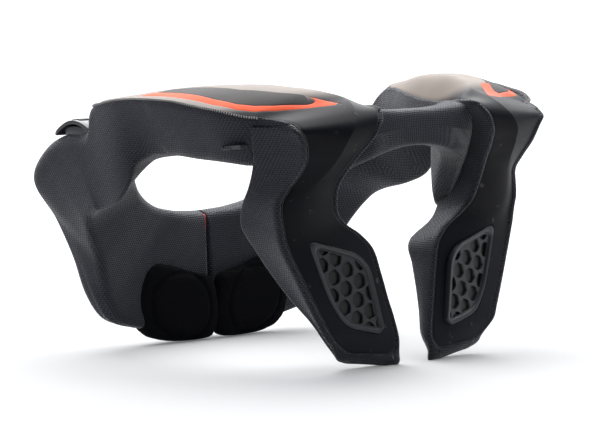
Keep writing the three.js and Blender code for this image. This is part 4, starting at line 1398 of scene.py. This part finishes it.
class MakeBridge(bpy.types.Operator):
    """Padded bridge at the nape"""
    bl_idname = "brace.bridge"
    bl_label = "Nape bridge"

    def execute(self, context):
        obj = link("bridge_cover", bridge_mesh())
        finish_piece(obj, ("rear_bridge",), cover_material())
        return {"FINISHED"}


class MakeShells(bpy.types.Operator):
    """Hard shells of both halves, with the openings for the vents"""
    bl_idname = "brace.shells"
    bl_label = "Shells"

    def execute(self, context):
        material = shared("shell", shell_finish, "moulded_shell", context.scene.brace_shells)
        for side in MIRROR:
            obj = link(side + "_shell_skin", shell_mesh(side))
            cut(obj, vent_cutter(side))
            finish_piece(obj, (side + "_shell",), material)
        return {"FINISHED"}


class MakeVents(bpy.types.Operator):
    """Honeycomb grilles in the struts"""
    bl_idname = "brace.vents"
    bl_label = "Vent grilles"

    def execute(self, context):
        colour = context.scene.brace_shells.grille_colour
        # the grille's cells get painted shade in their recesses
        material = shared("grille", plastic_finish, "moulded_grille", colour, 0.42, True)
        for side in MIRROR:
            obj = link(side + "_vent_grille", vent_mesh(side))
            finish_piece(obj, (side + "_vent",), material)
        return {"FINISHED"}


class MakeCushions(bpy.types.Operator):
    """Soft cushions behind the chest plates, blown up as cloth"""
    bl_idname = "brace.cushions"
    bl_label = "Chest cushions"

    def execute(self, context):
        cloth = context.scene.brace_cloth
        material = shared("cushion", pad_finish, "brushed_cushion_knit", cloth.cushion)
        for side in MIRROR:
            obj = link(side + "_chest_cushion", pad_mesh(side))
            blown_up(obj, cloth.swell / MM)
            emboss(obj)
            finish_piece(obj, (side + "_chest_pad",), material)
        return {"FINISHED"}


class MakeFittings(bpy.types.Operator):
    """Strap clip, adjuster lever and release pull"""
    bl_idname = "brace.fittings"
    bl_label = "Clip, lever and pull"

    def execute(self, context):
        shells = context.scene.brace_shells
        plain = shared("fitting", plastic_finish, "moulded_fitting", shells.grille_colour, 0.38)
        red = shared("pull", plastic_finish, "release_pull", shells.pull_colour, 0.5)
        for name, mesh, node, slot, material in (
            ("left_strap_buckle", clip_mesh(), "left_strap_clip", "clip", plain),
            ("left_adjuster_lever", tongue_mesh(), "left_adjuster_tongue", "clip", plain),
            ("release_pull", tab_mesh(), "release_tab", "tab", red),
        ):
            finish_piece(link(name, mesh), (node,), material)
        return {"FINISHED"}


OUTER_SEAM = 27
INNER_SEAM = 66
SEAM_STEP = 3.0


def seam_line(start, stop, index, lift):
    """The path of one point of the body cover's outline, moved out a little."""
    points = []
    for at in marks(start, stop, SEAM_STEP):
        ring = fabric_ring(at, False)
        out = ring[index] - ring.mean(axis=0)
        points.append(ring[index] + out / np.linalg.norm(out) * lift)
    return points


class MakeTrim(bpy.types.Operator):
    """Dark beads round the shells as painted shade of the gap between shell and fabric, piping whose light grey is
    partly painted highlight, and stitches along the seams
    """
    bl_idname = "brace.trim"
    bl_label = "Beads, piping and stitches"

    def execute(self, context):
        trim, cloth = context.scene.brace_trim, context.scene.brace_cloth
        # painted shade: a near-black bead along the shell's edge stands for the shade in the gap between shell and
        # fabric
        rubber = shared("rubber", plastic_finish, "gasket_rubber", (0.012, 0.012, 0.014), 0.6)
        # painted highlight, in part: the light grey ribbed piping along the shoulder roll stands for the light its
        # upper edge catches
        piping = shared("piping", thread_finish, "seam_piping", cloth.piping)
        piping_path = (SHOULDER_START + 4, SHELL_STOP + 2, OUTER_SEAM, 0.5)
        stitch_path = (KNOTS[SHOULDER_END] + 16, BODY_STOP - 6, INNER_SEAM, 0.05)
        rows = (("_shoulder_piping", piping_path, trim.rib, 0.28, 0.0009),
                ("_chest_stitches", stitch_path, trim.stitch, 0.34, 0.0003))
        for side in MIRROR:
            bead = path_object(side + "_shell_bead", shell_edge_path(), side, True)
            shared("bead", bead_recipe).apply(bead, {"Radius": trim.bead, "Finish": rubber})
            finish_piece(bead, ())
            for name, seam, pitch, share, across in rows:
                row = path_object(side + name, seam_line(*seam), side)
                shared("bars", bars_recipe).apply(row, {
                    "Pitch": pitch, "Along": pitch * share, "Across": across, "Finish": piping})
                finish_piece(row, ())
        return {"FINISHED"}


# Stage

PHOTO_CAMERA = (1.9233, 1.9190, 0.3326)
PHOTO_RIGHT = (-0.7071, 0.7071, 0.0)
PHOTO_UP = (-0.0616, -0.0616, 0.9962)
PHOTO_BACK = (0.7044, 0.7044, 0.08716)
LENS = 235.2
# The sky's strength on the camera's side and behind the brace
DIM_SIDE = 0.05
BRIGHT_SIDE = 0.9
BRIGHT_TOWARDS = (-0.5, -0.5, 0.7)
SKY_FADE = (-0.15, 0.55)
SKY_COLOUR = (0.88, 0.92, 1, 1)
FLOOR_RADIUS = 40.0
# Name, place, aim, size and energy
SOFTBOXES = (
    ("overhead_softbox", (-0.55, -0.55, 1.3), (0, 0, 0.1), 1.9, 64.0),
    ("left_softbox", (2.0, -0.5, 0.9), (0.05, 0, 0.1), 1.2, 14.0),
    ("right_softbox", (-0.9, 1.8, 0.9), (0, 0, 0.1), 1.0, 1.0),
)


def add_floor():
    """A wide pale floor that glows far behind the brace."""
    bm = bmesh.new()
    bmesh.ops.create_circle(bm, cap_ends=True, segments=96, radius=FLOOR_RADIUS)
    mesh = bpy.data.meshes.new("floor")
    bm.to_mesh(mesh)
    bm.free()
    floor = link("floor", mesh)
    paper = Finish("pale_paper", Roughness=0.75, Specular_IOR_Level=0.2, Emission_Strength=1.0)
    paper.set("Base Color", paper.colours(paper.noise(3.0), rgb((0.47,) * 3), rgb((0.5,) * 3)))
    x, y, _ = paper.parts(paper.place())
    far = (x * x + y * y).step(0.2, 4.0) * (x + y).step(0.5, -0.8)
    paper.set("Emission Color", paper.colours(far, rgb((0.12,) * 3), rgb((0.92,) * 3)))
    mesh.materials.append(paper.material)


def add_sky(scene):
    """A sky that is bright behind the brace and dim on the camera's side."""
    world = bpy.data.worlds.new("studio")
    world.use_nodes = True
    nodes, links = world.node_tree.nodes, world.node_tree.links
    place, dot, sky = (nodes.new(kind) for kind in (
        "ShaderNodeTexCoord", "ShaderNodeVectorMath", "ShaderNodeMapRange"))
    dot.operation = "DOT_PRODUCT"
    dot.inputs[1].default_value = BRIGHT_TOWARDS
    sky.interpolation_type = "SMOOTHSTEP"
    for i, value in enumerate((*SKY_FADE, DIM_SIDE, BRIGHT_SIDE), 1):
        sky.inputs[i].default_value = value
    links.new(place.outputs["Generated"], dot.inputs[0])
    links.new(dot.outputs["Value"], sky.inputs[0])
    links.new(sky.outputs[0], nodes["Background"].inputs["Strength"])
    nodes["Background"].inputs["Color"].default_value = SKY_COLOUR
    scene.world = world


def add_softbox(scene, name, place, aim, size, energy):
    light = bpy.data.lights.new(name, "AREA")
    light.shape, light.size, light.energy = "SQUARE", size, energy
    lamp = bpy.data.objects.new(name, light)
    scene.collection.objects.link(lamp)
    lamp.location = place
    lamp.rotation_euler = (Vector(aim) - Vector(place)).to_track_quat("-Z", "Y").to_euler()


def add_camera(scene):
    """The camera at the photograph's place and angle."""
    data = bpy.data.cameras.new("camera")
    data.lens, data.sensor_width, data.sensor_fit = LENS, 36.0, "HORIZONTAL"
    data.clip_start, data.clip_end = 0.05, 50.0
    camera = bpy.data.objects.new("camera", data)
    scene.collection.objects.link(camera)
    axes = Matrix((PHOTO_RIGHT, PHOTO_UP, PHOTO_BACK)).transposed().to_4x4()
    axes.translation = Vector(PHOTO_CAMERA)
    camera.matrix_world = axes
    scene.camera = camera


class MakeStage(bpy.types.Operator):
    """Pale floor, soft light and the camera at the photograph's angle"""
    bl_idname = "brace.stage"
    bl_label = "Stage"

    def execute(self, context):
        scene = context.scene
        scene.view_settings.view_transform = "Standard"
        add_floor()
        add_sky(scene)
        for softbox in SOFTBOXES:
            add_softbox(scene, *softbox)
        add_camera(scene)
        return {"FINISHED"}


PIECES = (MakeBodyCovers, MakeStrutCovers, MakeBridge, MakeShells, MakeVents, MakeCushions, MakeFittings,
          MakeTrim, MakeStage)
SETTINGS = {"brace_cloth": BraceCloth, "brace_shells": BraceShells, "brace_trim": BraceTrim}


class BracePanel(bpy.types.Panel):
    """The brace's sizes and colours, and the makers of its pieces"""
    bl_idname = "VIEW3D_PT_brace"
    bl_label = "Neck Brace"
    bl_space_type = "VIEW_3D"
    bl_region_type = "UI"
    bl_category = "Neck Brace"

    def draw(self, context):
        for name, group in SETTINGS.items():
            box = self.layout.box()
            for key in group.__annotations__:
                box.prop(getattr(context.scene, name), key)
        for piece in PIECES:
            self.layout.operator(piece.bl_idname)


def register():
    for group in SETTINGS.values():
        bpy.utils.register_class(group)
    for name, group in SETTINGS.items():
        setattr(bpy.types.Scene, name, PointerProperty(type=group))
    for piece in (*PIECES, BracePanel):
        bpy.utils.register_class(piece)


def unregister():
    for piece in (BracePanel, *reversed(PIECES)):
        bpy.utils.unregister_class(piece)
    for name, group in SETTINGS.items():
        delattr(bpy.types.Scene, name)
        bpy.utils.unregister_class(group)


def main():
    register()
    bpy.ops.brace.body_covers()
    bpy.ops.brace.strut_covers()
    bpy.ops.brace.bridge()
    bpy.ops.brace.shells()
    bpy.ops.brace.vents()
    bpy.ops.brace.cushions()
    bpy.ops.brace.fittings()
    bpy.ops.brace.trim()
    bpy.ops.brace.stage()


if __name__ == "__main__":
    main()
